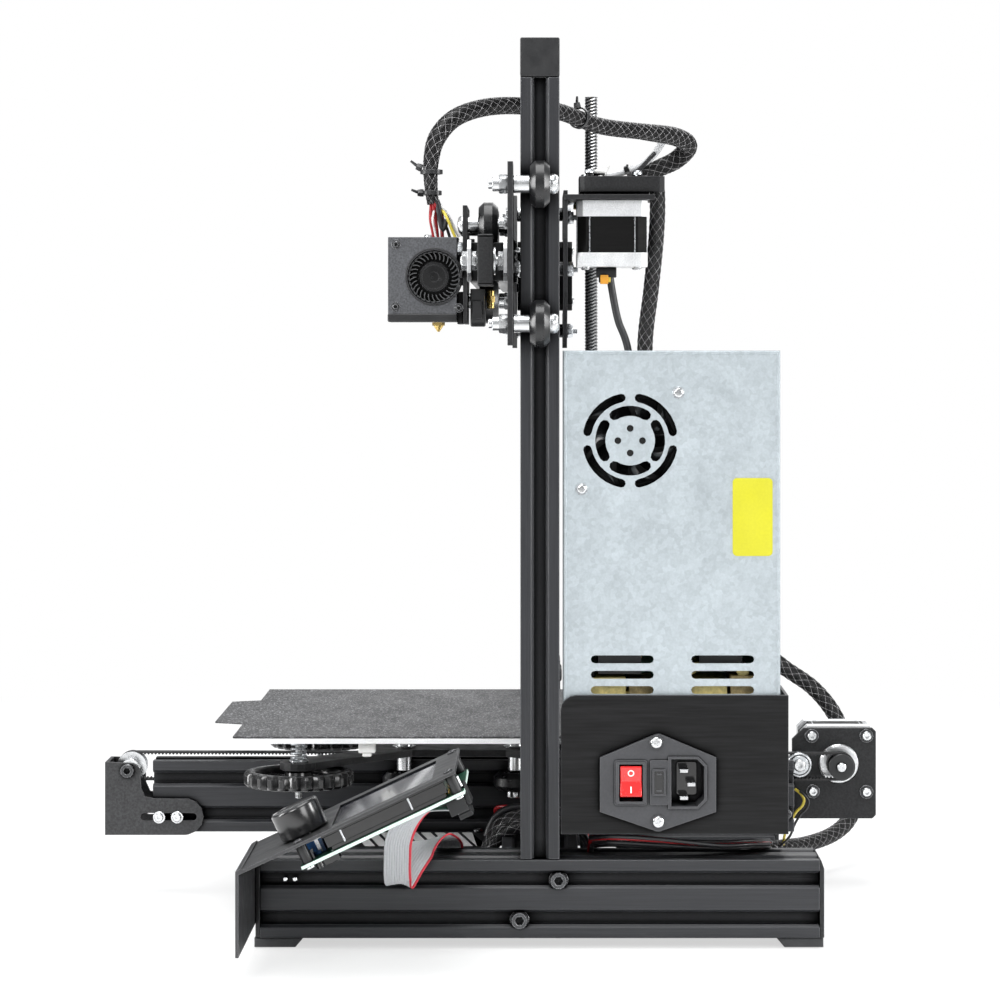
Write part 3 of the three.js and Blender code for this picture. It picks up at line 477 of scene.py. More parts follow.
def galvanised():
    """Pale blue-grey sheet with soft zinc flowers."""
    m = material("galvanised_sheet", (0.43, 0.478, 0.505), 0.42, 0.60, var=0.05, var_scale=22, grain=0.05, grain_scale=800,
                 bump=0.08, bump_scale=260, bump_dist=0.04, rough_var=0.06)
    nt = m.node_tree
    N, L = nt.nodes, nt.links
    b = [n for n in N if n.type == "BSDF_PRINCIPLED"][0]
    src = b.inputs["Base Color"].links[0].from_socket
    tc = [n for n in N if n.type == "TEX_COORD"][0]
    vo = N.new("ShaderNodeTexVoronoi")
    vo.inputs["Scale"].default_value = 420
    L.new(tc.outputs["Object"], vo.inputs["Vector"])
    r = N.new("ShaderNodeMapRange")
    r.inputs["To Min"].default_value = 0.93
    r.inputs["To Max"].default_value = 1.07
    sep = N.new("ShaderNodeSeparateColor")
    L.new(vo.outputs["Color"], sep.inputs[0])
    L.new(sep.outputs[0], r.inputs["Value"])
    v = N.new("ShaderNodeVectorMath")
    v.operation = "SCALE"
    L.new(src, v.inputs[0])
    L.new(r.outputs[0], v.inputs["Scale"])
    L.new(v.outputs[0], b.inputs["Base Color"])
    return m


MAT["galvanised"] = galvanised()


def glass_window():
    """Dark display window with a faint blue tint that shifts across it."""
    m = material("display_window", (0.004, 0.005, 0.022), 0.06, 0.0, var=0.25, var_scale=30, grain=0.02, bump=0.01, coat=1.0, rough_var=0.03)
    return m


MAT["window"] = glass_window()


# ------------------------------------------------------------------ CAD nodes keep their shape and get finishes
def dress(node, mat, bevel=0.25, seg=2, angle=32, weld=True):
    o = NODES[node]
    o.data.materials.clear()
    o.data.materials.append(mat)
    for p in o.data.polygons:
        p.material_index = 0
    if weld:
        w = o.modifiers.new("weld", "WELD")
        w.merge_threshold = 0.00002
    if bevel:
        add_bevel(o, bevel, seg, angle)
    return o


for n in ("base_beam_right", "base_beam_left", "bed_rail"):
    dress(n, MAT["anodised_y"], 0.45, 3)
for n in ("upright_right", "upright_left"):
    dress(n, MAT["anodised_z"], 0.45, 3)
for n in ("crossbeam", "top_bar", "gantry_beam"):
    dress(n, MAT["anodised_x"], 0.45, 3)
for n in ("foot_front_right", "foot_front_left", "foot_rear_right", "foot_rear_left"):
    dress(n, MAT["rubber"], 0.8, 3)
dress("power_supply_case", MAT["galvanised"], 0.3, 2, 50)
dress("socket_bracket", MAT["brushed_black"], 0.3, 2, 50)
dress("power_socket", MAT["socket_plastic"], 0.6, 3, 40)
dress("rocker_switch", MAT["red"], 0.5, 3, 40)
for n in ("control_tray", "control_cover", "bed_motor_plate", "bed_carriage",
          "gantry_plate_right", "gantry_plate_left", "carriage_plate"):
    dress(n, MAT["powder"], 0.25, 2, 40)
dress("heated_bed", MAT["bed_plate"], 0.2, 2, 50)
dress("build_sheet", MAT["sheet"], 0.15)
dress("extruder_block", MAT["plastic"], 0.4)
dress("extruder_lever", MAT["powder"], 0.4)
MAT["panel_coat"] = material("display_panel_coat", (0.022, 0.0224, 0.024), 0.36, 0.0, var=0.10, grain=0.25, grain_scale=1300, stretch=(1, 0.3, 1),
                             bump=0.25, bump_scale=1500, bump_dist=0.04, edge=0.3, edge_col=(0.3, 0.3, 0.31), spec=0.75, painted_shade_reach=0.004)
dress("display_panel", MAT["panel_coat"], 0.25, 2, 40)
MAT["tensioner_coat"] = material("tensioner_powder_coat", (0.026, 0.0265, 0.028), 0.46, 0.0, var=0.10, grain=0.45, grain_scale=950,
                                 bump=0.35, bump_scale=1500, bump_dist=0.06, edge=0.22, edge_col=(0.26, 0.26, 0.27), spec=0.45, painted_shade_reach=0.006)
dress("belt_tensioner", MAT["tensioner_coat"], 0.25, 2, 40)
dress("hot_end_shroud", MAT["shroud"], 0.7, 3, 50)
dress("hot_end", MAT["brass"], 0.15)



def paint_axles(node, centres, lo, hi, r=5.2):
    """Gives steel to the faces of a plate's axles: those within r of a centre line and outside the plate itself."""
    o = NODES[node]
    o.data.materials.append(MAT["steel"])
    mw = o.matrix_world
    for p in o.data.polygons:
        w = mw @ p.center
        x, y, z = (w.x - OX) / S, (w.y - OY) / S, w.z / S
        if lo <= y <= hi:
            continue
        if any(math.hypot(x - cx, z - cz) < r for cx, cz in centres):
            p.material_index = 1


bpy.context.view_layer.update()
paint_axles("gantry_plate_right", [(181.3, 389.5), (181.3, 318.7), (121.7, 354.1), (158, 351.2)], -16.5, -13.5)
paint_axles("gantry_plate_left", [(-181.3, 389.5), (-181.3, 317.2), (-121.7, 354.1)], -16.5, -13.5)
paint_axles("carriage_plate", [(122, 371), (78, 371), (100, 331.4)], -40.4, -37.9)

# ------------------------------------------------------------------ camera, floor and light
cam_data = bpy.data.cameras.new("camera")
cam = bpy.data.objects.new("camera", cam_data)
bpy.context.scene.collection.objects.link(cam)
cam_data.sensor_width = 36
F_PX, CAM_D, U_V, V_H = 3190.0, 1800.0, 535.0, 350.0
cam_data.lens = 36 * F_PX / 1000
EYE = P(CAM_D, -2.5, 305.3)
cam.location = EYE
# The lens is shifted, so that the plan's vanishing point lies at (U_V, V_H) in the frame and uprights stay upright.
cam_data.shift_x = (500 - U_V) / 1000
cam_data.shift_y = (V_H - 500) / 1000
look = Vector((-1.0, 0, 0))
cam.rotation_mode = "QUATERNION"
cam.rotation_quaternion = look.to_track_quat("-Z", "Y")
cam_data.clip_start, cam_data.clip_end = 0.05, 50
bpy.context.scene.camera = cam

scene = bpy.context.scene
scene.view_settings.view_transform = "Standard"
scene.view_settings.look = "None"
scene.view_settings.exposure = 0.0

world = bpy.data.worlds.new("studio")
scene.world = world
world.use_nodes = True


def studio_world():
    """White to the camera; to the object a soft grey room, brighter overhead and dark below."""
    nt = world.node_tree
    N, L = nt.nodes, nt.links
    N.clear()
    out = N.new("ShaderNodeOutputWorld")
    a, c = N.new("ShaderNodeBackground"), N.new("ShaderNodeBackground")
    lp, mx = N.new("ShaderNodeLightPath"), N.new("ShaderNodeMixShader")
    tc, sp, mr = N.new("ShaderNodeTexCoord"), N.new("ShaderNodeSeparateXYZ"), N.new("ShaderNodeMapRange")
    L.new(tc.outputs["Generated"], sp.inputs[0])
    mr.inputs["From Min"].default_value = -0.35
    mr.inputs["From Max"].default_value = 0.75
    mr.inputs["To Min"].default_value = 0.14
    mr.inputs["To Max"].default_value = 0.62
    L.new(sp.outputs[2], mr.inputs["Value"])
    a.inputs[0].default_value = (0.97, 0.985, 1.0, 1)
    L.new(mr.outputs[0], a.inputs[1])
    c.inputs[0].default_value = (1, 1, 1, 1)
    c.inputs[1].default_value = 1.0
    L.new(lp.outputs["Is Camera Ray"], mx.inputs[0])
    L.new(a.outputs[0], mx.inputs[1])
    L.new(c.outputs[0], mx.inputs[2])
    L.new(mx.outputs[0], out.inputs[0])


studio_world()


def floor_material():
    """Pale floor near the machine that turns into the white surround farther out."""
    m = bpy.data.materials.new("studio_floor")
    m.use_nodes = True
    nt = m.node_tree
    N, L = nt.nodes, nt.links
    b = [n for n in N if n.type == "BSDF_PRINCIPLED"][0]
    out = [n for n in N if n.type == "OUTPUT_MATERIAL"][0]
    no = N.new("ShaderNodeTexNoise")
    no.inputs["Scale"].default_value = 3
    cr = N.new("ShaderNodeMapRange")
    cr.inputs["To Min"].default_value = 0.955
    cr.inputs["To Max"].default_value = 0.985
    L.new(no.outputs["Fac"], cr.inputs["Value"])
    cc = N.new("ShaderNodeCombineColor")
    for i in range(3):
        L.new(cr.outputs[0], cc.inputs[i])
    L.new(cc.outputs[0], b.inputs["Base Color"])
    b.inputs["Roughness"].default_value = 0.9
    b.inputs["Specular IOR Level"].default_value = 0.2
    em = N.new("ShaderNodeEmission")
    em.inputs["Color"].default_value = (1, 1, 1, 1)
    em.inputs["Strength"].default_value = 1.0
    tc = N.new("ShaderNodeTexCoord")
    ln = N.new("ShaderNodeVectorMath")
    ln.operation = "LENGTH"
    L.new(tc.outputs["Object"], ln.inputs[0])
    fr = N.new("ShaderNodeMapRange")
    fr.inputs["From Min"].default_value = 0.35
    fr.inputs["From Max"].default_value = 1.1
    L.new(ln.outputs["Value"], fr.inputs["Value"])
    mx = N.new("ShaderNodeMixShader")
    L.new(fr.outputs[0], mx.inputs[0])
    L.new(b.outputs[0], mx.inputs[1])
    L.new(em.outputs[0], mx.inputs[2])
    # to the camera the floor is mostly white, with a soft shadow left in it; to the object it is a pale grey card
    lp = N.new("ShaderNodeLightPath")
    e2 = N.new("ShaderNodeEmission")
    e2.inputs["Color"].default_value = (1, 1, 1, 1)
    e2.inputs["Strength"].default_value = 1.0
    fac = N.new("ShaderNodeMath")
    fac.operation = "MULTIPLY"
    fac.inputs[1].default_value = 0.62
    L.new(lp.outputs["Is Camera Ray"], fac.inputs[0])
    m2 = N.new("ShaderNodeMixShader")
    L.new(fac.outputs[0], m2.inputs[0])
    L.new(mx.outputs[0], m2.inputs[1])
    L.new(e2.outputs[0], m2.inputs[2])
    L.new(m2.outputs[0], out.inputs[0])
    return m


bpy.ops.mesh.primitive_plane_add(size=16, location=(0, 0, -0.0005))
floor = bpy.context.object
floor.name = "studio_floor"
floor.data.materials.append(floor_material())


def area(name, loc, target, size, power, size_y=None):
    d = bpy.data.lights.new(name, "AREA")
    d.energy = power
    d.size = size
    if size_y:
        d.shape = "RECTANGLE"
        d.size_y = size_y
    o = bpy.data.objects.new(name, d)
    o.location = loc
    o.rotation_mode = "QUATERNION"
    o.rotation_quaternion = (Vector(target) - Vector(loc)).to_track_quat("-Z", "Y")
    bpy.context.scene.collection.objects.link(o)
    return o


area("key", (1.9, -0.9, 1.3), (0, 0, 0.2), 0.9, 25)
area("fill", (1.9, 1.2, 0.8), (0, 0, 0.2), 0.8, 12)
area("top", (0.25, 0, 2.0), (0, 0, 0.2), 0.9, 30, 1.9)
area("strip_front", (0.45, -1.9, 0.5), (0, 0, 0.22), 0.4, 26, 1.3)
area("strip_back", (0.45, 1.9, 0.6), (0, 0, 0.22), 0.4, 26, 1.3)
area("rim", (-1.7, 0.4, 1.3), (0, 0, 0.25), 1.2, 12)


# ------------------------------------------------------------------ fasteners
def socket_head(b, axis, c, sign, r=3.2, h=2.6, steel=0, dark=0, hexr_mm=1.5, seg=24):
    """Round head with a hexagonal recess; c lies on the seat, sign is the way the head stands."""
    a = sign
    prof = [(0, 0), (r, 0), (r, h * 0.55 * a), (r * 0.93, h * 0.82 * a), (r * 0.78, h * a),
            (hexr_mm * 1.06, h * a), (hexr_mm, h * 0.9 * a), (hexr_mm, h * 0.35 * a), (0, h * 0.3 * a)]

    def rad(i, t):
        return hexr(i, t) if i in (5, 6, 7) else 1

    b.mat(steel).lathe(axis, prof, c, seg, radial=rad)
    return b


def cap_screw(b, axis, c, sign, r=4.3, h=4.2, hex_mm=2.3, seg=32):
    """Cylindrical cap screw with knurled side and hexagonal recess."""
    a = sign
    prof = [(0, 0), (r * 0.96, 0), (r, h * 0.08 * a), (r, h * 0.85 * a), (r * 0.9, h * a),
            (hex_mm * 1.1, h * a), (hex_mm, h * 0.93 * a), (hex_mm, h * 0.35 * a), (0, h * 0.3 * a)]

    def rad(i, t):
        if i in (5, 6, 7):
            return hexr(i, t)
        if i in (2, 3):
            return 1 - 0.03 * (math.cos(t * 16) > 0)
        return 1

    b.lathe(axis, prof, c, seg, radial=rad)
    return b


def pan_head(b, axis, c, sign, r=3.4, h=1.8, seg=24):
    """Domed head with a cross recess cut by dipping the inner rings."""
    a = sign
    rings = [(r, 0), (r, 0.35 * h), (r * 0.93, 0.62 * h), (r * 0.78, 0.85 * h), (r * 0.62, 0.95 * h)]
    prof = [(0, 0)] + [(q, z * a) for q, z in rings]
    b.lathe(axis, prof, c, seg)
    # cross recess: a star-shaped well
    c = Vector(c)
    ax = {"x": Vector((1, 0, 0)), "y": Vector((0, 1, 0)), "z": Vector((0, 0, 1))}[axis]
    star, star_low = [], []
    outer = []
    for k in range(seg):
        t = 2 * math.pi * k / seg
        q = min(1 / max(abs(math.cos(t - 0.4)), abs(math.sin(t - 0.4))), 9)
        arm = 0.52 if min((t - 0.4) % (math.pi / 2), math.pi / 2 - (t - 0.4) % (math.pi / 2)) < 0.33 else 0.20
        outer.append(Vector(b._axis(axis, r * 0.62, t, 0.95 * h * a)) + c)
        star.append(Vector(b._axis(axis, r * arm, t, 0.97 * h * a)) + c)
        star_low.append(Vector(b._axis(axis, r * arm * 0.75, t, 0.42 * h * a)) + c)
    n0, n1, n2 = b.verts(outer), b.verts(star), b.verts(star_low)
    for k in range(seg):
        k2 = (k + 1) % seg
        b.face([n0 + k, n0 + k2, n1 + k2, n1 + k])
        b.face([n1 + k, n1 + k2, n2 + k2, n2 + k])
    b.face([n2 + k for k in range(seg)])
    return b


def hex_nut(b, axis, c, sign, r=4.0, h=3.2, hole=1.5, seg=36):
    a = sign
    prof = [(0, 0), (r * 0.93, 0), (r, 0.14 * h * a), (r, 0.86 * h * a), (r * 0.90, h * a), (hole * 1.25, h * a), (hole, h * 0.85 * a), (hole, h * 0.5 * a), (0, h * 0.5 * a)]

    def rad(i, t):
        return hexr(i, t) if i in (2, 3) else (0.5 + 0.5 * hexr(i, t) if i in (1, 4) else 1)

    b.lathe(axis, prof, c, seg, radial=rad)
    return b


def washer(b, axis, c, sign, r=4.2, h=0.9, hole=1.7):
    b.ring(axis, hole, r, min(0, h * sign), max(0, h * sign), c, 28, ch=0.15)
    return b


# ------------------------------------------------------------------ V-wheels
def v_wheel(name, node, axis, c, body, detail=True):
    """Black V-wheel with stepped face and a steel ball bearing showing at each side."""
    b = Build()
    r, w = 12.0, 5.1
    half = [(5.8, w - 0.7), (8.4, w - 0.7), (8.7, w - 0.3), (9.0, w), (9.4, w - 0.1), (11.75, 2.5), (12.0, 2.15), (12.0, 0)]
    prof = [(q, -a) for q, a in half] + [(q, a) for q, a in reversed(half[:-1])]
    b.mat(0).lathe(axis, prof, c, 56, closed=True)
    for s in (-1, 1):
        b.mat(1)
        b.ring(axis, 4.6, 5.75, *sorted((s * (w - 1.6), s * (w - 0.55))), c, 32, ch=0.12)
        b.ring(axis, 2.45, 3.4, *sorted((s * (w - 1.6), s * (w - 0.4))), c, 28, ch=0.12)
        b.mat(2)
        b.ring(axis, 3.42, 4.58, *sorted((s * (w - 1.7), s * (w - 1.0))), c, 28)
    o = b.make(name, body, [MAT["wheel"], MAT["steel"], MAT["plastic"]], smooth=30)
    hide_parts(node)
    return o


for n, x, z in (("right_upper", 181.3, 389.5), ("right_lower", 181.3, 318.7), ("right_inner", 121.7, 354.1),
                ("left_upper", -181.3, 389.5), ("left_lower", -181.3, 317.2), ("left_inner", -121.7, 354.1)):
    v_wheel("lift_v_wheel_" + n, "lift_wheel_" + n, "y", (x, 0, z), "lift_wheel_" + n + "_body")
for n, x, y in (("front_right", 19.8, -75.5), ("rear_right", 19.8, -13.5), ("front_left", -19.8, -75.5), ("rear_left", -19.8, -13.5)):
    v_wheel("bed_v_wheel_" + n, "bed_wheel_" + n, "z", (x, y, 65), "bed_wheel_" + n + "_body")
for n, x, z in (("upper_right", 122, 371), ("upper_left", 78, 371), ("lower", 100, 331.4)):
    v_wheel("carriage_v_wheel_" + n, "carriage_wheel_" + n, "y", (x, -27, z), "carriage_wheel_" + n + "_body")

# ------------------------------------------------------------------ pulleys, idlers and belts
def toothed_pulley(name, node, axis, c, body, flip=1):
    b = Build()

    def rad(i, t):
        return 1 - 0.07 * (math.cos(t * 20) > 0.1) if i in (5, 6) else 1

    prof = [(0, -9), (6.9, -9), (7.3, -8.6), (7.3, -3.7), (6.3, -3.4), (6.15, -3.2), (6.15, 3.2), (6.3, 3.4), (7.3, 3.7), (7.3, 4.7), (7.0, 5.0), (3.1, 5.0), (2.9, 4.7), (0, 4.7)]
    b.mat(0).lathe(axis, [(r, a * flip) for r, a in prof], c, 80, radial=rad)
    lo, hi = sorted((4.5 * flip, 6.2 * flip))
    b.mat(1).lathe(axis, [(0, lo), (2.5, lo), (2.5, hi - 0.25), (2.2, hi), (0, hi)] if flip > 0 else [(0, hi), (2.5, hi), (2.5, lo + 0.25), (2.2, lo), (0, lo)], c, 28)
    # steel shaft end showing in the hub
    o = b.make(name, body, [MAT["plastic"], MAT["steel"]], smooth=30)
    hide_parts(node)
    return o


def idler(name, node, axis, c, body, r, w, fl):
    b = Build()
    h = w / 2
    prof = [(2.5, -h), (fl - 1.6, -h + 0.2), (fl, -h + 0.2), (fl, -h + 0.9), (r, -h + 0.95), (r, h - 0.95), (fl, h - 0.9), (fl, h - 0.2), (fl - 1.6, h - 0.2), (2.5, h)]
    b.mat(0).lathe(axis, prof, c, 56, closed=True)
    for s in (-1, 1):
        b.mat(1).ring(axis, 2.45, fl * 0.52, *sorted((s * (h - 0.3), s * (h + 0.15))), c, 36, ch=0.1)
    o = b.make(name, body, [MAT["steel"], MAT["zinc"]], smooth=30)
    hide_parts(node)
    return o


toothed_pulley("bed_drive_pulley", "bed_pulley", "x", (0, 170, 70.5), "bed_pulley_body")
idler("bed_belt_idler", "bed_idler", "x", (0, -229.5, 71), "bed_idler_body", 7.2, 8.8, 8.2)
toothed_pulley("traverse_drive_pulley", "traverse_pulley", "y", (-195, -27, 351.2), "traverse_pulley_body", flip=-1)
idler("traverse_belt_idler", "traverse_idler", "y", (158, -27, 351.2), "traverse_idler_body", 6.0, 8.6, 7.3)


def belt(name, body, plane, across, path, width=6.0, thick=1.0, tooth=0.75, pitch=2.0):
    """Toothed belt: path is a list of (u, v) points, teeth on its left-hand side. plane 'yz' or 'xz'; across is the centre of the width."""
    b = Build()

    def to(u, v, w):
        return (across + w, u, v) if plane == "yz" else (u, across + w, v)

    # resample at a quarter of the tooth pitch
    pts = [Vector((*p, 0)) for p in path]
    out, acc = [pts[0]], 0.0
    step = pitch / 4
    for a, c in zip(pts, pts[1:]):
        d = (c - a).length
        t = step - acc
        while t <= d:
            out.append(a + (c - a) * (t / d))
            t += step
        acc = d - (t - step)
    n = len(out)
    rows = []
    for i, p in enumerate(out):
        t = (out[min(i + 1, n - 1)] - out[max(i - 1, 0)]).normalized()
        nr = Vector((-t.y, t.x, 0))
        depth = tooth if (i // 2) % 2 == 0 else 0.0
        a = p + nr * depth
        c = p - nr * thick
        rows.append(b.verts([to(a.x, a.y, -width / 2), to(a.x, a.y, width / 2), to(c.x, c.y, width / 2), to(c.x, c.y, -width / 2)]))
    for r0, r1 in zip(rows, rows[1:]):
        for k in range(4):
            k2 = (k + 1) % 4
            b.face([r0 + k, r0 + k2, r1 + k2, r1 + k])
    b.face([rows[0] + k for k in (3, 2, 1, 0)])
    b.face([rows[-1] + k for k in (0, 1, 2, 3)])
    return b.make(name, body, MAT["belt"], smooth=25)


# Bed belt: over the front idler, along the rail's channel, round the drive pulley
cy0, cz0, r0 = -229.5, 71.0, 7.25
cy1, cz1, r1 = 170.0, 70.5, 6.95
belt("bed_belt_upper", "frame", "yz", 0.0, [(cy1, cz1 + r1)] + [(cy0, cz0 + r0)], thick=0.9, tooth=0.8)
belt("bed_belt_lower", "frame", "yz", 0.0, [(cy0, cz0 - r0)] + [(cy1, cz1 - r1)], thick=0.9, tooth=0.8)
belt("bed_belt_front", "frame", "yz", 0.0, arc(cy0, cz0, r0 + 0.1, 88, 272, 30), thick=0.95, tooth=0.0)
belt("bed_belt_rear", "frame", "yz", 0.0, arc(cy1, cz1, r1 + 0.05, -92, 92, 30), thick=0.95, tooth=0.0)
zx = 351.2
belt("traverse_belt_upper", "gantry", "xz", -27.0, [(158, zx + 6.95), (-195, zx + 6.95)], thick=-0.9, tooth=-0.7)
belt("traverse_belt_lower", "gantry", "xz", -27.0, [(-195, zx - 6.95), (158, zx - 6.95)], thick=-0.9, tooth=-0.7)
belt("traverse_belt_right", "gantry", "xz", -27.0, arc(158, zx, 7.0, 92, -92, 30), thick=-0.95, tooth=0.0)
belt("traverse_belt_left", "gantry", "xz", -27.0, arc(-195, zx, 7.0, 272, 88, 30), thick=-0.95, tooth=0.0)


# ------------------------------------------------------------------ bed: levelling knobs, springs, screws
BED_Y = -44.5
CORNERS = (("front_right", 1, -1), ("rear_right", 1, 1), ("front_left", -1, -1), ("rear_left", -1, 1))


def levelling_knob(name, node, x, y, body):
    """Dished hand wheel: ribbed rim, sunk web with spokes, raised hub."""
    b = Build()
    ribs = 26

    def rad(i, t):
        if i in (3, 4, 5, 6, 7):
            f = 0.5 + 0.5 * math.cos(t * ribs)
            return 1 - 0.060 * (1 - f ** 0.6)
        return 1

    prof = [(2.4, 71.6), (7.5, 71.6), (8.0, 71.2), (26.6, 71.2), (28.4, 71.7), (29.45, 73.0), (29.45, 77.6), (28.5, 79.1),
            (26.4, 79.5), (24.6, 79.4), (23.4, 78.4), (22.4, 75.4), (9.4, 74.9), (8.0, 75.3), (7.2, 78.7), (6.7, 79.2), (2.4, 79.2)]
    seg = ribs * 8
    b.mat(0).lathe("z", prof, (x, y, 0), seg, radial=rad, closed=True)
    # short moulded ribs standing on the rim's outer wall
    for k in range(ribs):
        t = 2 * math.pi * (k + 0.0) / ribs
        c, s = math.cos(t), math.sin(t)
        b.xf = Matrix.Translation(Vector((x, y, 0))) @ Matrix.Rotation(t, 4, "Z")
        b.box(28.3, 29.5, -1.15, 1.15, 73.3, 77.3)
    b.xf = None
    # web spokes
    for k in range(6):
        b.xf = Matrix.Translation(Vector((x, y, 0))) @ Matrix.Rotation(k * math.pi / 3, 4, "Z")
        b.box(7.5, 23.0, -0.9, 0.9, 75.0, 76.4)
    b.xf = None
    o = b.make(name, body, [MAT["knob_rib"]], smooth=28)
    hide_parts(node)
    return o


def spring(b, x, y, z0, z1, r, wire, turns, seg=7):
    pts = []
    n = int(turns * 22)
    for i in range(n + 1):
        t = i / n
        # closed end coils
        e = 0.5 - 0.5 * math.cos(math.pi * t)
        zz = z0 + wire + (z1 - z0 - 2 * wire) * (0.35 * e + 0.65 * t)
        a = 2 * math.pi * turns * t
        pts.append((x + r * math.cos(a), y + r * math.sin(a), zz))
    b.tube(pts, wire, seg)


for n, sx, sy in CORNERS:
    x, y = 85 * sx, BED_Y + 85 * sy
    levelling_knob("levelling_handwheel_" + n, "levelling_knob_" + n, x, y, "levelling_knob_" + n + "_body")
    b = Build()
    spring(b, x, y, 84.2, 97.3, 3.9, 0.62, 5.5)
    b.make("levelling_spring_" + n, "bed", [MAT["zinc"]], smooth=60)
    b = Build()
    # threaded screw: shallow rings
    prof = [(0, 64.2), (1.2, 64.2)]
    z = 64.6
    while z < 97.2:
        prof += [(2.05, z), (1.75, z + 0.35)]
        z += 0.7
    prof += [(2.0, 97.4), (0, 97.4)]
    b.mat(0).lathe("z", prof, (x, y, 0), 20)
    b.make("levelling_screw_" + n, "bed", [MAT["steel"]], smooth=60)
    b = Build()
    washer(b, "z", (x, y, 84.1), 1, 5.2, 0.7, 2.2)
    b.mat(1)
    b.ring("z", 2.2, 9.0, 79.65, 80.15, (x, y, 0), 32, ch=0.15)
    b.make("levelling_washer_" + n, "bed", [MAT["zinc"], MAT["plastic"]], smooth=40)

# countersunk screw heads in the sheet's corners stay hidden under the sheet; a wire clip hangs under the bed's front right
b = Build()
b.box(104, 112, -96, -87, 91.8, 97.2)
b.box(105, 111, -94, -89, 89.8, 92.0)
b.make("bed_cable_clip", "bed", MAT["white"], bevel=0.8, bevel_seg=3)

# carriage wheel fasteners seen below and above the plate
for n, x, y in (("front_right", 19.8, -75.5), ("rear_right", 19.8, -13.5), ("front_left", -19.8, -75.5), ("rear_left", -19.8, -13.5)):
    b = Build()
    b.mat(0).ring("z", 2.25, 4.15, 70.9, 80.0, (x, y, 0), 32, ch=0.3)
    hex_nut(b, "z", (x, y, 59.2), -1, 4.8, 3.4, 2.2)
    b.ring("z", 2.25, 3.6, 55.7, 59.9, (x, y, 0), 24, ch=0.3)
    socket_head(b, "z", (x, y, 84.0), 1, 4.4, 2.8, hexr_mm=1.7)
    b.ring("z", 4.0, 6.4, 84.05, 84.75, (x, y, 0), 32, ch=0.15)
    b.make("bed_wheel_axle_" + n, "bed", [MAT["steel"]], smooth=35)

# underside of the heated bed: wiring block
b = Build()
b.box(-16, 16, 44, 66, 92.6, 97.2)
b.mat(1).box(-12, 12, 62, 69.5, 93.0, 96.4)
b.make("bed_terminal_cover", "bed", [MAT["plastic"], MAT["tan_board"]], bevel=0.6)

# ------------------------------------------------------------------ stepper motors
def stepper(name, node, axis, c, a0, a1, body, shaft=0.0, boss=1, cap="motor_cap"):
    """Square motor: two cast end caps, laminated black middle, corner screws, round pilot. c gives the axis's other coordinates."""
    b = Build()
    H = 21.15

    def outline(h, ch):
        return [(-h + ch, -h), (h - ch, -h), (h, -h + ch), (h, h - ch), (h - ch, h), (-h + ch, h), (-h, h - ch), (-h, -h + ch)]

    def shift(pts):
        # the prism wants the two coordinates in x, y, z order
        return [(u + c[0], v + c[1]) for u, v in pts]

    L = a1 - a0
    cap0, cap1 = 8.4, 9.6
    b.mat(0)
    b.prism(axis, shift(outline(H, 3.6)), a0, a0 + cap0)
    b.prism(axis, shift(outline(H, 3.6)), a1 - cap1, a1)
    b.mat(1)
    lam = outline(H - 0.45, 5.2)
    n = 10
    mid0, mid1 = a0 + cap0, a1 - cap1
    b.prism(axis, shift(lam), mid0 + 0.02, mid1 - 0.02)
    # pressed grooves down each side of the lamination stack
    b.mat(2)
    for (u, v) in ((-13.5, 1), (13.5, 1), (-13.5, -1), (13.5, -1)):
        for swap in (False, True):
            h = H - 0.43
            p, q = (u, v * h)
            if swap:
                p, q = q, p
            w = 0.28
            pts = [(p - w, q - w), (p + w, q - w), (p + w, q + w), (p - w, q + w)]
            b.prism(axis, shift(pts), mid0 + 0.1, mid1 - 0.1)
    b.mat(0)
    face = a1 if boss > 0 else a0
    cc = {"x": (0, c[0], c[1]), "y": (c[0], 0, c[1]), "z": (c[0], c[1], 0)}[axis]
    if shaft:
        lo, hi = sorted((face, face + boss * 2.0))
        b.ring(axis, 3.2, 11.0, lo - 0.3, hi, cc, 48, ch=0.4)
        b.mat(3)
        lo, hi = sorted((face, face + boss * shaft))
        b.cyl(axis, 2.48, lo, hi, cc, 24, ch=0.3)
    # corner screws on the far face
    back = a0 if boss > 0 else a1
    b.mat(3)
    for su in (-1, 1):
        for sv in (-1, 1):
            u, v = c[0] + su * 15.5, c[1] + sv * 15.5
            pc = {"x": (back, u, v), "y": (u, back, v), "z": (u, v, back)}[axis]
            pan_head(b, axis, pc, -boss, 2.6, 1.3)
    o = b.make(name, body, [MAT[cap], MAT["motor_black"], MAT["zinc"], MAT["steel"]], smooth=30, bevel=0.3)
    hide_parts(node)
    return o


# Axis order of the other two coordinates: x -> (y, z), y -> (x, z), z -> (x, y)
stepper("extruder_stepper", "extruder_motor", "z", (-124.3, 43.6), 355.1, 394.7, "gantry", shaft=0.0)
stepper("lift_stepper", "lift_motor", "z", (-152, 31.9), 46, 80, "frame", shaft=0.0)
stepper("bed_stepper", "bed_motor", "x", (170, 70.5), -47.6, -13.6, "frame", shaft=0.0)
stepper("traverse_stepper", "traverse_motor", "y", (-195, 351.2), -13.3, 20.5, "gantry", shaft=0.0, boss=-1, cap="powder")

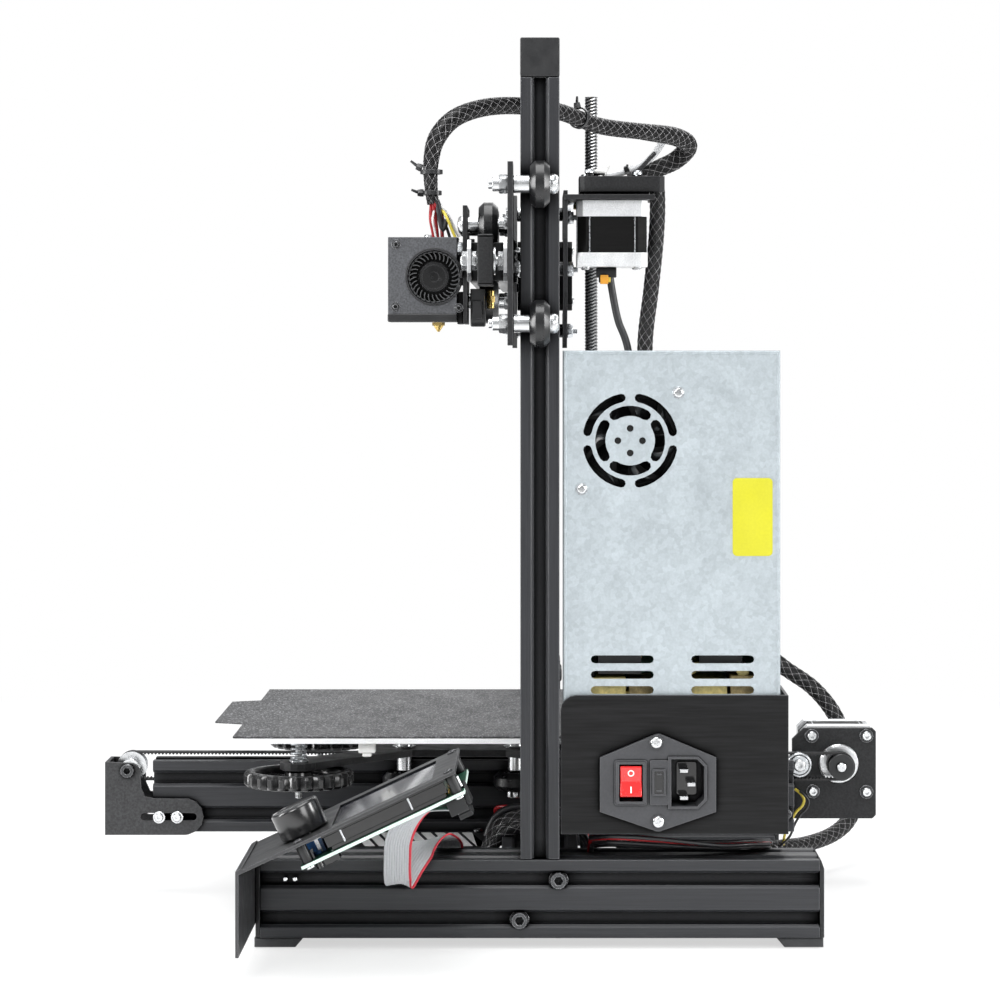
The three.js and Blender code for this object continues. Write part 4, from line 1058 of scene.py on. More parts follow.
# ------------------------------------------------------------------ lead screw with real thread
def threaded_screw(name, node, x, y, z0, z1, body, r=4.0, root=3.25, lead=8.0, starts=4, step=0.5):
    b = Build()
    seg = 24
    n = int((z1 - z0) / step)
    rings = []
    for i in range(n + 1):
        z = z0 + (z1 - z0) * i / n
        pts = []
        for k in range(seg):
            t = 2 * math.pi * k / seg
            ph = ((z / lead) * starts - t / (2 * math.pi) * starts) % 1.0
            tri = abs(ph - 0.5) * 2
            f = min(max((tri - 0.28) / 0.44, 0), 1)
            rr = root + (r - root) * f
            pts.append((x + rr * math.cos(t), y + rr * math.sin(t), z))
        m = b.verts(pts)
        rings.append(m)
    for ri, (a, c) in enumerate(zip(rings, rings[1:])):
        for k in range(seg):
            k2 = (k + 1) % seg
            z = z0 + (z1 - z0) * (ri + 0.5) / n
            t = 2 * math.pi * (k + 0.5) / seg
            ph_ = ((z / lead) * starts - t / (2 * math.pi) * starts) % 1.0
            # faces near the thread's roots take the dark steel: painted shade in the thread's grooves
            b.mat(3 if abs(ph_ - 0.5) * 2 < 0.5 else 0)
            b.face([a + k, a + k2, c + k2, c + k])
    b.mat(0)
    b.face([rings[0] + k for k in reversed(range(seg))])
    b.face([rings[-1] + k for k in range(seg)])
    # flexible coupler: two clamping halves with a spiral cut shown as fine grooves
    b.mat(1)
    prof = [(2.5, 84), (9.1, 84), (9.5, 84.4)]
    z = 90.0
    prof.append((9.5, z))
    while z < 102.5:
        prof += [(9.5, z + 0.9), (8.3, z + 1.0), (8.3, z + 1.5), (9.5, z + 1.6)]
        z += 2.1
    prof += [(9.5, 108.6), (9.1, 109), (2.5, 109)]
    b.lathe("z", prof, (x, y, 0), 48, closed=True)
    b.mat(2)
    for zz in (87, 106):
        b.cyl("x", 1.7, 7.6, 9.45, (x, y, zz), 16)
    o = b.make(name, body, [MAT["lead"], MAT["aluminium"], MAT["dark_screw"], MAT["thread_root"]], smooth=40)
    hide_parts(node)
    return o


# dark steel for the thread roots: painted shade
MAT["thread_root"] = material("lead_screw_root_painted_shade", (0.05, 0.051, 0.053), 0.5, 0.7, var=0.2, var_scale=200, grain=0.1, bump=0.1)
MAT["lead"] = material("lead_screw_steel", (0.50, 0.505, 0.51), 0.30, 1.0, var=0.1, var_scale=120, grain=0.08, bump=0.08)
threaded_screw("lead_screw_threaded", "lead_screw", -152, 31.9, 84.5, 460, "lead_screw_body")

# lift motor bracket above the motor and its bolts to the upright
b = Build()
b.prism("z", [(-173.2, 10.6), (-130.8, 10.6), (-130.8, 50), (-134, 53.1), (-170, 53.1), (-173.2, 50)], 80.4, 83.2,
        holes=[[(-152 + 11.2 * math.cos(a * math.pi / 12), 31.9 + 11.2 * math.sin(a * math.pi / 12)) for a in range(24)]])
b.prism("y", [(-173.2, 80.4), (-130.8, 80.4), (-130.8, 112), (-136, 117), (-167, 117), (-173.2, 112)], 10.4, 12.8)
b.mat(1)
for sx in (-1, 1):
    for sy in (-1, 1):
        pan_head(b, "z", (-152 + 15.5 * sx, 31.9 + 15.5 * sy, 83.2), 1, 2.9, 1.6)
for x in (-161.5, -141.5):
    cap_screw(b, "y", (x, 12.8, 88.4), 1, 4.2, 3.6)
    pan_head(b, "y", (x, 12.8, 108.0), 1, 4.2, 1.1)
b.make("lift_motor_bracket", "frame", [MAT["powder"], MAT["dark_screw"]], smooth=35, bevel=0.3)

# brass nut under the gantry's shelf, round the screw
b = Build()
b.ring("z", 4.3, 11.0, 391.3, 394.8, (-152, 31.9, 0), 48, ch=0.3)
b.ring("z", 4.3, 5.1, 383.5, 402.5, (-152, 31.9, 0), 32, ch=0.2)
for k in range(4):
    a = math.pi / 4 + k * math.pi / 2
    b.mat(1)
    socket_head(b, "z", (-152 + 8.1 * math.cos(a), 31.9 + 8.1 * math.sin(a), 391.3), -1, 2.2, 1.6, steel=1, hexr_mm=1.0)
    b.mat(0)
b.make("lead_screw_nut", "gantry", [MAT["brass"], MAT["dark_screw"]], smooth=35)


# ------------------------------------------------------------------ base: end plates, screws, top bar caps
for side, sx in (("right", 1), ("left", -1)):
    x = 151.5 * sx
    b = Build()
    b.prism("y", rrect(x - 20, x + 20, 5.2, 44.9, 0.8), -145.25, -143.1)
    b.make("beam_end_front_" + side, "frame", MAT["powder"], bevel=0.25)
    b = Build()
    b.prism("x", [(143.1, 5.2), (145.2, 5.2), (145.2, 40.5), (143.6, 44.9), (143.1, 44.9)], x - 19.8, x + 19.8)
    b.make("beam_end_rear_" + side, "frame", MAT["powder"], bevel=0.25)
    # end cap of the top bar, with its two screws hidden behind a plain moulded face
    b = Build()
    lo, hi = sorted((168.7 * sx, 171.4 * sx))
    b.prism("x", rrect(-10.1, 10.1, 445.0, 465.0, 1.0), lo, hi)
    b.make("top_bar_cap_" + side, "frame", MAT["plastic"], bevel=0.5, bevel_seg=3)

# cap screws sunk in the right beam's grooves, and matching ones on the left
b = Build()
for u, v in ((558.5, 880.8), (519.4, 920.6)):
    y, z = (u - 535) / 1.959 - 2.5, 305.3 - (v - 350) / 1.959
    for sx in (1, -1):
        b.mat(0)
        cap_screw(b, "x", (169.6 * sx, y, z), sx, 4.35, 3.6, 2.3)
        b.mat(1)
        b.ring("x", 2.0, 5.0, *sorted((168.9 * sx, 169.6 * sx)), (0, y, z), 32, ch=0.1)
b.make("beam_joint_screws", "frame", [MAT["dark_screw"], MAT["dark_screw"], MAT["zinc"]], smooth=35)
b = Build()
for u, v in ((285.0, 879.5), (294.7, 879.5)):
    y, z = (u - 535) / 1.959 - 2.5, 305.3 - (v - 350) / 1.959
    b.cyl("x", 1.15, 168.6, 171.3, (0, y, z), 20, ch=0.3)
b.make("beam_slot_pins", "frame", MAT["steel"], smooth=35)

# corner screws that hold the top bar and the crossbeam
b = Build()
for sx in (-1, 1):
    for y in (-5.4, 5.4):
        cap_screw(b, "z", (151.5 * sx, y, 465.0), 1, 3.4, 1.6, 1.9)
b.make("top_bar_screws", "frame", [MAT["dark_screw"]], smooth=35)
b = Build()
for sx in (-1, 1):
    for y in (-9.5, 9.5):
        cap_screw(b, "z", (151.5 * sx, y, 5.0), -1, 4.0, 3.0, 2.0)
b.make("upright_foot_screws", "frame", [MAT["dark_screw"]], smooth=35)

# ------------------------------------------------------------------ power supply: inside, fan, screws, label
FY, FZ = 46.2, 258.9
b = Build()
b.mat(0).ring("x", 25.3, 29.4, 150.2, 166.2, (0, FY, FZ), 64, ch=0.4)
b.box(150.2, 152.0, FY - 29.4, FY + 29.4, FZ - 29.4, FZ + 29.4)
b.mat(1).cyl("x", 11.6, 154.0, 164.6, (0, FY, FZ), 48, ch=0.8)
for k in range(7):
    a0 = 2 * math.pi * k / 7
    rows = []
    for i in range(9):
        r = 11.2 + (24.4 - 11.2) * i / 8
        a = a0 + 0.42 * (r - 11.2) / 13.2
        w = 0.34 + 0.05 * i / 8
        pts = []
        for (dx, da) in ((155.5, -w), (162.6, w), (163.4, w), (156.3, -w)):
            t = a + da
            pts.append((dx, FY + r * math.cos(t), FZ + r * math.sin(t)))
        rows.append(b.verts(pts))
    for r0, r1 in zip(rows, rows[1:]):
        for q in range(4):
            q2 = (q + 1) % 4
            b.face([r0 + q, r0 + q2, r1 + q2, r1 + q])
    b.face([rows[0] + q for q in (3, 2, 1, 0)])
    b.face([rows[-1] + q for q in (0, 1, 2, 3)])
b.make("supply_fan", "frame", [MAT["plastic"], MAT["gloss"]], smooth=35)

b = Build()
rnd = random.Random(4)
b.mat(0).box(124.5, 127.0, 16, 119, 110, 300)
for (y0, y1, z0, z1, x1, m) in ((22, 44, 125, 137, 163, 2), (46, 58, 124, 136, 161, 3), (30, 52, 139, 150, 162, 1), (78, 96, 125, 136, 163, 2),
                                (98, 112, 124, 138, 162, 3), (82, 104, 140, 150, 160, 1), (20, 60, 154, 196, 150, 1), (70, 116, 160, 210, 154, 3)):
    b.mat(m).box(127.2, x1, y0, y1, z0, z1)
for k in range(14):
    y = rnd.uniform(24, 112)
    z = rnd.uniform(124, 150)
    r = rnd.uniform(2.2, 4.6)
    b.mat(rnd.choice((1, 2, 3, 4))).cyl("x", r, 128, rnd.uniform(158, 164.5), (0, y, z), 20, ch=0.5)
b.make("supply_components", "frame", [MAT["board_dark"], MAT["plastic"], MAT["cap_foil"], MAT["tan_board"], MAT["aluminium"]], smooth=35)

b = Build()
for u, v in ((678.5, 392.6), (581.5, 489.0)):
    y, z = (u - 535) / 1.9545 - 2.5, 305.3 - (v - 350) / 1.9545
    b.mat(0).ring("x", 0.4, 3.1, 168.02, 168.35, (0, y, z), 32, ch=0.1)
    b.mat(1)
    pan_head(b, "x", (168.3, y, z), 1, 2.55, 1.3)
b.make("supply_screws", "frame", [MAT["zinc"], MAT["steel"]], smooth=35)

b = Build()
y0, y1 = (732.6 - 535) / 1.9545 - 2.5, (772.6 - 535) / 1.9545 - 2.5
z0, z1 = 305.3 - (556 - 350) / 1.9545, 305.3 - (478 - 350) / 1.9545
b.prism("x", rrect(y0, y1, z0, z1, 2.2), 168.03, 168.2)
b.make("supply_blank_label", "frame", MAT["yellow"], smooth=0)
# folded lips of the case: a raised seam along the front edge and the top cover's edge
b = Build()
b.box(167.9, 168.5, 12.3, 13.6, 105, 304)
b.box(167.9, 168.35, 12.3, 122.6, 303.2, 304.6)
b.box(167.9, 168.45, 121.4, 122.7, 105, 304)
b.make("supply_folded_edges", "frame", MAT["galvanised"], bevel=0.25)
# terminal block on the underside, with its screws
b = Build()
b.mat(0).box(124, 144, 30, 112, 92.5, 103.6)
for k in range(9):
    y = 35 + k * 9
    b.mat(0).box(144, 150, y - 4.6, y - 3.6, 93, 103.4)
    b.mat(1).cyl("x", 2.4, 144.0, 146.2, (0, y, 98.4), 16, ch=0.3)
b.make("supply_terminals", "frame", [MAT["plastic"], MAT["zinc"]], smooth=35, bevel=0.2)

# ------------------------------------------------------------------ inlet socket
b = Build()
for u, v in ((656.3, 742.6), (658.3, 822.0)):
    y, z = (u - 535) / 1.963 - 2.5, 305.3 - (v - 350) / 1.963
    b.mat(0).ring("x", 1.0, 3.7, 174.5, 174.9, (0, y, z), 32, ch=0.15)
    b.mat(1)
    pan_head(b, "x", (174.85, y, z), 1, 3.05, 1.6)
b.make("socket_screws", "frame", [MAT["socket_plastic"], MAT["steel"]], smooth=35)

b = Build()
# rocker frame
b.mat(0).prism("x", rrect(37.9, 54.6, 73.3, 96.3, 1.2), 174.5, 175.3, holes=[list(reversed(rrect(40.4, 52.4, 75.4, 94.2, 0.6)))])
b.mat(0).prism("x", rrect(38.6, 53.9, 74.2, 95.4, 1.0), 175.2, 175.8, holes=[list(reversed(rrect(40.3, 52.5, 75.3, 94.3, 0.6)))])
# fuse drawer between the rocker and the inlet
fy0, fy1 = (650 - 535) / 1.963 - 2.5, (668 - 535) / 1.963 - 2.5
b.mat(0).prism("x", rrect(fy0, fy1, 73.4, 96.4, 0.8), 174.5, 175.25)
b.mat(0).prism("x", rrect(fy0 + 1.2, fy1 - 1.2, 78.2, 91.8, 0.6), 175.2, 176.0, holes=[list(reversed(rrect(fy0 + 2.2, fy1 - 2.2, 79.2, 90.8, 0.5)))])
b.mat(1).prism("x", rrect(fy0 + 2.3, fy1 - 2.3, 79.3, 90.7, 0.5), 175.2, 175.5)
b.mat(0).box(175.2, 175.9, fy0 + 3.4, fy1 - 3.4, 80.4, 81.2)
b.mat(0).box(175.2, 175.9, fy0 + 3.4, fy1 - 3.4, 88.8, 89.6)
# rim round the inlet
outer = [(65.3, 71.4), (80.6, 71.4), (85.2, 76.0), (85.2, 93.6), (80.6, 98.2), (65.3, 98.2)]
inner = [(66.9, 72.7), (80.0, 72.7), (83.8, 76.6), (83.8, 93.0), (80.0, 96.9), (66.9, 96.9)]
b.mat(0).prism("x", outer, 174.5, 175.4, holes=[list(reversed(inner))])
# core of the inlet
b.mat(1).prism("x", rrect(70.4, 80.6, 76.4, 93.2, 1.2), 156.2, 157.4)
b.make("socket_rims", "frame", [MAT["socket_plastic"], MAT["gloss"]], smooth=35, bevel=0.22)
b = Build()
for u, v, w, h in ((682.8, 767.4, 2.2, 4.6), (690.3, 781.0, 2.2, 4.6), (682.8, 794.7, 2.2, 4.6)):
    y, z = (u - 535) / 1.94 - 2.5, 305.3 - (v - 350) / 1.94
    b.box(157, 169.5, y - h / 2, y + h / 2, z - w / 2, z + w / 2)
b.make("inlet_pins", "frame", MAT["steel"], bevel=0.5, bevel_seg=3)

# marks on the rocker: a ring above and a bar below, a little proud
b = Build()
base = Matrix.Translation(Vector((169, 46.4, 84.8))) @ Matrix.Rotation(math.radians(-6), 4, "Y")
b.xf = base @ Matrix.Translation(Vector((6.53, 0, 4.2))) @ Matrix.Rotation(math.radians(12.5), 4, "Y")
b.mat(0).ring("x", 1.1, 1.65, -0.1, 0.15, (0, 0, 0), 28)
b.xf = base @ Matrix.Translation(Vector((6.53, 0, -4.2))) @ Matrix.Rotation(math.radians(-12.5), 4, "Y")
b.box(-0.1, 0.15, -0.32, 0.32, -1.7, 1.7)
b.make("rocker_marks", "rocker_switch_body", MAT["white"], smooth=35)


# ------------------------------------------------------------------ display board, window and parts
TILT = math.atan2(102.5 - 54.5, -41.4 + 144)
SLOPE = Matrix.Translation(Vector((0, -144, 54.5))) @ Matrix.Rotation(TILT, 4, "X")


def onto_slope(b):
    b.xf = SLOPE
    return b


# the board keeps its shape; its faces are dark, its cut edges pale green, its encoder block blue and its shaft steel
board = NODES["display_board"]
board.data.materials.clear()
for k in ("board_green", "board_dark", "blue", "steel"):
    board.data.materials.append(MAT[k])
_inv = SLOPE.inverted()
_mw = board.matrix_world.copy()
_n = Vector((0, -math.sin(TILT), math.cos(TILT)))
for p in board.data.polygons:
    w = _mw @ p.center
    q = _inv @ Vector(((w.x - OX) / S, (w.y - OY) / S, w.z / S))
    wn = (_mw.to_3x3() @ p.normal).normalized()
    if q.z > -4.3:
        p.material_index = 3
    elif q.z > -11.1:
        p.material_index = 2
    elif abs(wn.dot(_n)) > 0.9:
        p.material_index = 1
    else:
        p.material_index = 0
add_bevel(board, 0.1)

b = onto_slope(Build())
b.mat(0).box(183.0, 251.6, 47.5, 100.5, -1.5, -0.8)
b.make("display_window", "frame", MAT["window"], bevel=0.15)
b = onto_slope(Build())
b.mat(0).prism("z", [(178.5, 40.5), (256.5, 40.5), (256.5, 106.5), (178.5, 106.5)], -3.2, -1.75, holes=[[(184, 48), (184, 100), (251, 100), (251, 48)]])
b.mat(1).box(179.5, 255.5, 41.5, 105.5, -8.9, -3.3)
b.mat(0).box(181.0, 254.0, 43.0, 104.0, -11.1, -8.9)
for y in (50.0, 86.0):
    b.mat(2).box(255.5, 256.0, y, y + 0.9, -9.4, -2.4)
    b.mat(2).box(179.0, 179.5, y, y + 0.9, -9.4, -2.4)
b.mat(3).box(182.0, 253.0, 42.2, 61.0, -11.15, -10.6)
b.make("display_module", "frame", [MAT["gloss"], MAT["knob_gloss"], MAT["zinc"], MAT["board_green"]], smooth=0, bevel=0.25)
# spacers, screws and small parts of the board
b = onto_slope(Build())
for x in (180.5, 254.5):
    for y in (29.8, 109.6):
        b.mat(0).lathe("z", [(0, -11.1), (2.7, -11.1), (2.7, -1.7), (0, -1.7)], (x, y, 0), 24)
        b.mat(2)
        pan_head(b, "z", (x, y, 0.0), 1, 2.4, 1.2)
        b.mat(1).cyl("z", 2.4, -14.2, -12.9, (x, y, 0), 20, ch=0.3)
b.make("display_spacers", "frame", [MAT["plastic"], MAT["steel"], MAT["dark_screw"]], smooth=35, bevel=0.15)
b = onto_slope(Build())
# encoder's metal top plate and pins
b.mat(0).box(226.1, 239.9, 25.2, 38.8, -4.3, -3.3)
b.mat(0).box(239.6, 240.1, 27.2, 29.2, -10.8, -3.4)
b.mat(0).box(239.6, 240.1, 34.8, 36.8, -10.8, -3.4)
b.mat(0).ring("z", 3.1, 3.6, -3.3, -0.2, (233, 32, 0), 24)
for y in (28.5, 32, 35.5):
    b.mat(1).box(239.6, 244.0, y - 0.9, y + 0.9, -10.9, -9.4)
    b.mat(2).cyl("z", 0.9, -14.6, -12.9, (236, y, 0), 12, ch=0.2)
# beeper, trimmer, resistor rows, reset button
b.mat(3).cyl("z", 6.0, -11.1, -3.6, (205, 33.5, 0), 40, ch=0.4)
b.mat(4).box(246.5, 253.0, 27.0, 33.6, -11.1, -6.2)
b.mat(3).cyl("z", 1.6, -6.2, -5.2, (249.7, 30.3, 0), 20)
b.mat(4).box(222.0, 228.0, 27.5, 33.5, -16.2, -12.9)
b.mat(4).cyl("z", 2.0, -19.5, -16.2, (225, 30.5, 0), 20)
b.mat(4).box(240.0, 248.0, 36, 44.0, -16.8, -12.9)
for k in range(9):
    b.mat(3).box(186 + 6 * k, 189.2 + 6 * k, 40.0, 41.8, -13.6, -12.85)
    b.mat(2).box(185.6 + 6 * k, 186.2 + 6 * k, 40.0, 41.8, -13.5, -12.85)
    b.mat(2).box(189.1 + 6 * k, 189.7 + 6 * k, 40.0, 41.8, -13.5, -12.85)
# main chip and its legs under the board
b.mat(3).box(205, 219, 62, 76, -14.6, -12.9)
for k in range(11):
    b.mat(2).box(206 + 1.2 * k, 206.5 + 1.2 * k, 60.6, 77.4, -13.6, -12.85)
b.make("display_parts", "frame", [MAT["zinc"], MAT["blue"], MAT["steel"], MAT["plastic"], MAT["gloss"]], smooth=35, bevel=0.12)
# shrouded headers at the upper end
b = onto_slope(Build())
for (x0, x1) in ((228.0, 248.5), (204.0, 224.5)):
    b.mat(0).prism("z", [(x0, 101.5), (x1, 101.5), (x1, 110.8), (x0, 110.8)], -21.6, -12.9, holes=[[(x0 + 1.2, 102.7), (x0 + 1.2, 109.6), (x1 - 1.2, 109.6), (x1 - 1.2, 102.7)]])
    b.mat(0).box(x0 + 0.5, x1 - 0.5, 102.0, 110.3, -14.4, -12.9)
    for k in range(5):
        for y in (104.8, 107.4):
            b.mat(1).box(x0 + 5.1 + 2.54 * k - 0.3, x0 + 5.1 + 2.54 * k + 0.3, y - 0.3, y + 0.3, -20.5, -14.2)
            b.mat(1).cyl("z", 0.45, -11.15, -9.8, (x0 + 5.1 + 2.54 * k, y, 0), 8)
# plug of the ribbon cable, with its strain relief
b.mat(0).box(206.2, 222.2, 103.0, 109.3, -27.0, -14.5)
b.mat(0).box(205.6, 222.8, 102.6, 109.7, -27.9, -25.4)
b.mat(0).box(229.0, 247.5, 110.9, 113.4, -19.5, -9.5)
b.mat(2).cyl("z", 1.3, -9.5, -4.0, (252.0, 112.0, 0), 16, ch=0.2)
b.make("display_headers", "frame", [MAT["plastic"], MAT["brass"], MAT["steel"]], smooth=35, bevel=0.2)

# glossy knob with a plain skirt
b = onto_slope(Build())


def knob_rad(i, t):
    return 1.0


b.lathe("z", [(3.4, 0.65), (11.4, 0.65), (12.0, 0.95), (12.3, 1.6), (12.3, 13.4), (12.15, 14.1), (11.7, 14.6), (11.2, 14.75), (10.7, 14.3), (10.2, 14.1), (0, 14.2), (0, 11.2), (3.4, 11.2)],
        (233, 32, 0), 160, radial=knob_rad, closed=True)
o = b.make("display_turn_knob", "display_knob_body", MAT["knob_gloss"], smooth=30)
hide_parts("display_knob")


# ------------------------------------------------------------------ ribbon cable of the display
def ribbon(name, body, pts, width_dir, width=14.0, cores=11, n=14, thick=0.9, red_side=1):
    """Flat ribbed cable: pts is the centreline, width_dir the direction across it at each point."""
    path = smooth_path(pts, n)
    wd = smooth_path(width_dir, n)
    b = Build()
    pitch = width / cores
    # outline across the ribbon: half circles joined at the webs
    sec = []
    for k in range(cores):
        c = -width / 2 + pitch * (k + 0.5)
        for i in range(5):
            a = math.pi * (1 - i / 4)
            sec.append((c + 0.46 * pitch * math.cos(a), 0.16 + (thick / 2 - 0.16) * math.sin(a)))
    back = [(u, -v) for u, v in reversed(sec)]
    full = sec + back
    m = len(full)
    rows = []
    for i, p in enumerate(path):
        t = (path[min(i + 1, len(path) - 1)] - path[max(i - 1, 0)]).normalized()
        w = Vector(wd[i]).normalized()
        w = (w - t * w.dot(t)).normalized()
        nn = t.cross(w)
        rows.append(b.verts([p + w * u + nn * v for u, v in full]))
    for r0, r1 in zip(rows, rows[1:]):
        for q in range(m):
            q2 = (q + 1) % m
            u = (full[q][0] + full[q2][0]) / 2 * red_side
            b.mat(1 if u > width / 2 - pitch * 1.02 else 0)
            b.face([r0 + q, r0 + q2, r1 + q2, r1 + q])
    b.mat(0)
    b.face([rows[0] + q for q in reversed(range(m))])
    b.face([rows[-1] + q for q in range(m)])
    return b.make(name, body, [MAT["silicone"], MAT["ribbon_red"]], smooth=30)


def slope_pt(x, y, z):
    return SLOPE @ Vector((x, y, z))


def ph(u, v, x):
    """Point at depth x that lies on the ray from the plan's eye point through frame position (u, v)."""
    s = 3190 / (1800 - x)
    return Vector((x, (u - 535) / s - 2.5, 305.3 - (v - 350) / s))


rp = [slope_pt(214, 105, -27.2), ph(449, 808.5, 211), ph(426, 811, 206), ph(408, 822, 200), ph(399, 840, 194), ph(397.5, 860, 188),
      ph(397.5, 876, 184), ph(399, 883.0, 181), ph(403, 880, 178.6), ph(412, 864, 177), ph(424, 847, 174.5), ph(436, 838, 168),
      ph(444, 838.5, 156), ph(448, 841, 142), ph(450, 847, 131), Vector((129.4, -48, 37))]
rw = [(-1, 0, 0), (-1, 0.1, 0), (-0.85, 0.5, 0), (-0.4, 1, 0), (-0.12, 1, 0), (-0.05, 1, 0), (-0.04, 1, 0), (-0.04, 1, 0.02), (-0.05, 1, 0.1), (-0.1, 1, 0.35),
      (-0.15, 1, 0.45), (-0.15, 1, 0.3), (-0.1, 1, 0.1), (-0.05, 1, 0), (0, 1, 0), (0, 1, 0)]
ribbon("display_ribbon", "frame", rp, rw, red_side=1)

# ------------------------------------------------------------------ control box: white vent sheet of painted light, board, connectors and loom
# white sheet flush in the cover's vents: painted backdrop light seen through the vents, no part of the machine
b = Build()
b.mat(0).box(13.6, 124.4, -110.4, -33.6, 33.2, 33.7)
for i in range(9):
    y = -104.6 + i * 7.6
    b.prism("z", [(15.3, y + 0.4), (64.7, y + 9.9), (64.7, y + 15.2), (15.3, y + 5.7)], 33.6, 35.4)
b.make("control_vent_painted_light", "frame", MAT["insulator"])
b = Build()
b.mat(0).box(16, 122, -108, -36, 13.0, 14.6)
rnd = random.Random(9)
for k in range(22):
    x, y = rnd.uniform(22, 116), rnd.uniform(-102, -42)
    w, d, h = rnd.uniform(2, 7), rnd.uniform(2, 7), rnd.uniform(1.2, 5.5)
    b.mat(rnd.choice((1, 1, 2, 3))).box(x, min(x + w, 121), y, min(y + d, -37), 14.6, 14.6 + h)
for k in range(5):
    b.mat(2).box(24 + 15 * k, 33 + 15 * k, -72, -63, 14.8, 24.0)
    for q in range(5):
        b.mat(2).box(24.6 + 15 * k + 1.8 * q, 25.3 + 15 * k + 1.8 * q, -71.6, -63.4, 24.0, 28.0)
b.make("control_board", "frame", [MAT["board_dark"], MAT["plastic"], MAT["aluminium"], MAT["tan_board"]], smooth=0, bevel=0.1)
# control box cover: same shell with the vents' true width
b = Build()
vents = []
for i in range(9):
    y = -104.6 + i * 7.6
    vents.append([(15, y), (15, y + 6.0), (65, y + 15.6), (65, y + 9.6)])
b.prism("z", [(10, -114), (128, -114), (128, -30), (10, -30)], 34.0, 35.5, holes=vents)
b.box(10, 11.5, -114, -30, 20, 34.0)
b.box(126.5, 128, -114, -30, 20, 34.0)
b.box(11.5, 126.5, -114, -112.5, 20, 34.0)
b.box(11.5, 126.5, -31.5, -30, 20, 34.0)
o = b.make("control_box_cover", "frame", MAT["powder"], smooth=0, bevel=0.2)
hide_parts("control_cover")
b = Build()
for (x, y) in ((14.5, -109.5), (123.5, -109.5), (14.5, -34.5), (123.5, -34.5)):
    socket_head(b, "z", (x, y, 35.5), 1, 2.6, 1.8, steel=0, hexr_mm=1.2)
b.make("control_cover_screws", "frame", [MAT["dark_screw"]], smooth=35)


# ------------------------------------------------------------------ bed motor, tensioner and rear hardware
b = Build()
for u, v in ((811.7, 735.8), (866.4, 735.8), (812.9, 791.3), (866.4, 791.8)):
    s = 3190 / (1800 + 10.4)
    y, z = (u - 535) / s - 2.5, 305.3 - (v - 350) / s
    b.mat(0)
    b.ring("x", 1.4, 3.9, -10.4, -9.9, (0, y, z), 28, ch=0.1)
    b.mat(1)
    socket_head(b, "x", (-9.9, y, z), 1, 2.75, 2.2, steel=1, hexr_mm=1.3)
b.make("bed_motor_screws", "frame", [MAT["dark_screw"], MAT["steel"]], smooth=35)
b = Build()
# the motor's raised pilot, standing through the plate, and its shaft
b.mat(0).ring("x", 3.0, 11.0, -13.3, -9.9, (0, 170, 70.5), 64, ch=0.4)
b.ring("x", 7.6, 10.0, -10.0, -9.6, (0, 170, 70.5), 64, ch=0.1)
b.mat(1).ring("x", 3.2, 7.0, -10.0, -9.5, (0, 170, 70.5), 40, ch=0.1)
b.make("bed_motor_pilot", "frame", [MAT["aluminium"], MAT["steel"]], smooth=35)
# guide roller beside the pulley, on its bolt
b = Build()
c = (0, 146.4, 71.6)
b.mat(0).ring("x", 3.4, 6.9, -4.5, 4.2, c, 48, ch=0.5)
b.mat(1).ring("x", 2.2, 5.2, 4.2, 5.0, c, 40, ch=0.15)
b.mat(0).ring("x", 2.1, 4.0, -10.2, -4.6, c, 32, ch=0.2)
socket_head(b, "x", (5.0, 146.4, 71.6), 1, 3.6, 2.4, steel=2, hexr_mm=1.5)
b.mat(3).ring("x", 5.3, 5.9, 4.15, 4.35, c, 40)
b.make("bed_belt_roller", "frame", [MAT["zinc"], MAT["zinc"], MAT["steel"], MAT["plastic"]], smooth=35)

# tensioner: screws, washers, axle cap
b = Build()
for y in (-213.1, -203.0):
    for sx in (1, -1):
        b.mat(0).ring("x", 1.4, 3.4, *sorted((13.0 * sx, 13.45 * sx)), (0, y, 43.5), 28, ch=0.12)
        socket_head(b, "x", (13.4 * sx, y, 43.5), sx, 2.45, 1.6, steel=0, hexr_mm=1.1)
b.make("tensioner_screws", "frame", MAT["steel"], smooth=35)
b = Build()
for sx in (1, -1):
    b.mat(0)
    cap_screw(b, "x", (13.0 * sx, -230.8, 69.7), sx, 3.9, 3.0, 1.9)
    b.mat(1).ring("x", 2.0, 5.0, *sorted((11.0 * sx, 4.6 * sx)), (0, -229.5, 71.0), 32, ch=0.2)
b.mat(1).cyl("x", 2.2, -11, 11, (0, -229.5, 71.0), 20)
b.make("tensioner_axle", "frame", [MAT["dark_screw"], MAT["steel"]], smooth=35)

# clamp plates under the bed that hold the belt's ends
b = Build()
for y in (-84.0, -5.0):
    b.mat(0).box(-6, 6, y - 5, y + 5, 78.6, 80.1)
    b.mat(1)
    socket_head(b, "z", (4.3, y, 84.0), 1, 2.3, 1.8, steel=1, hexr_mm=1.0)
    socket_head(b, "z", (-4.3, y, 84.0), 1, 2.3, 1.8, steel=1, hexr_mm=1.0)
b.make("bed_belt_clamps", "bed", [MAT["steel"], MAT["dark_screw"]], smooth=35, bevel=0.15)

# screws of the bed rail into the crossbeam
b = Build()
for sx in (1, -1):
    cap_screw(b, "x", (10.0 * sx, 139.0, 45.0), sx, 2.6, 1.4, 1.4)
b.make("bed_rail_screws", "frame", MAT["dark_screw"], smooth=35)

# ------------------------------------------------------------------ gantry: spacers, nuts, bolts
OUTX, INNX = 181.3, 121.7


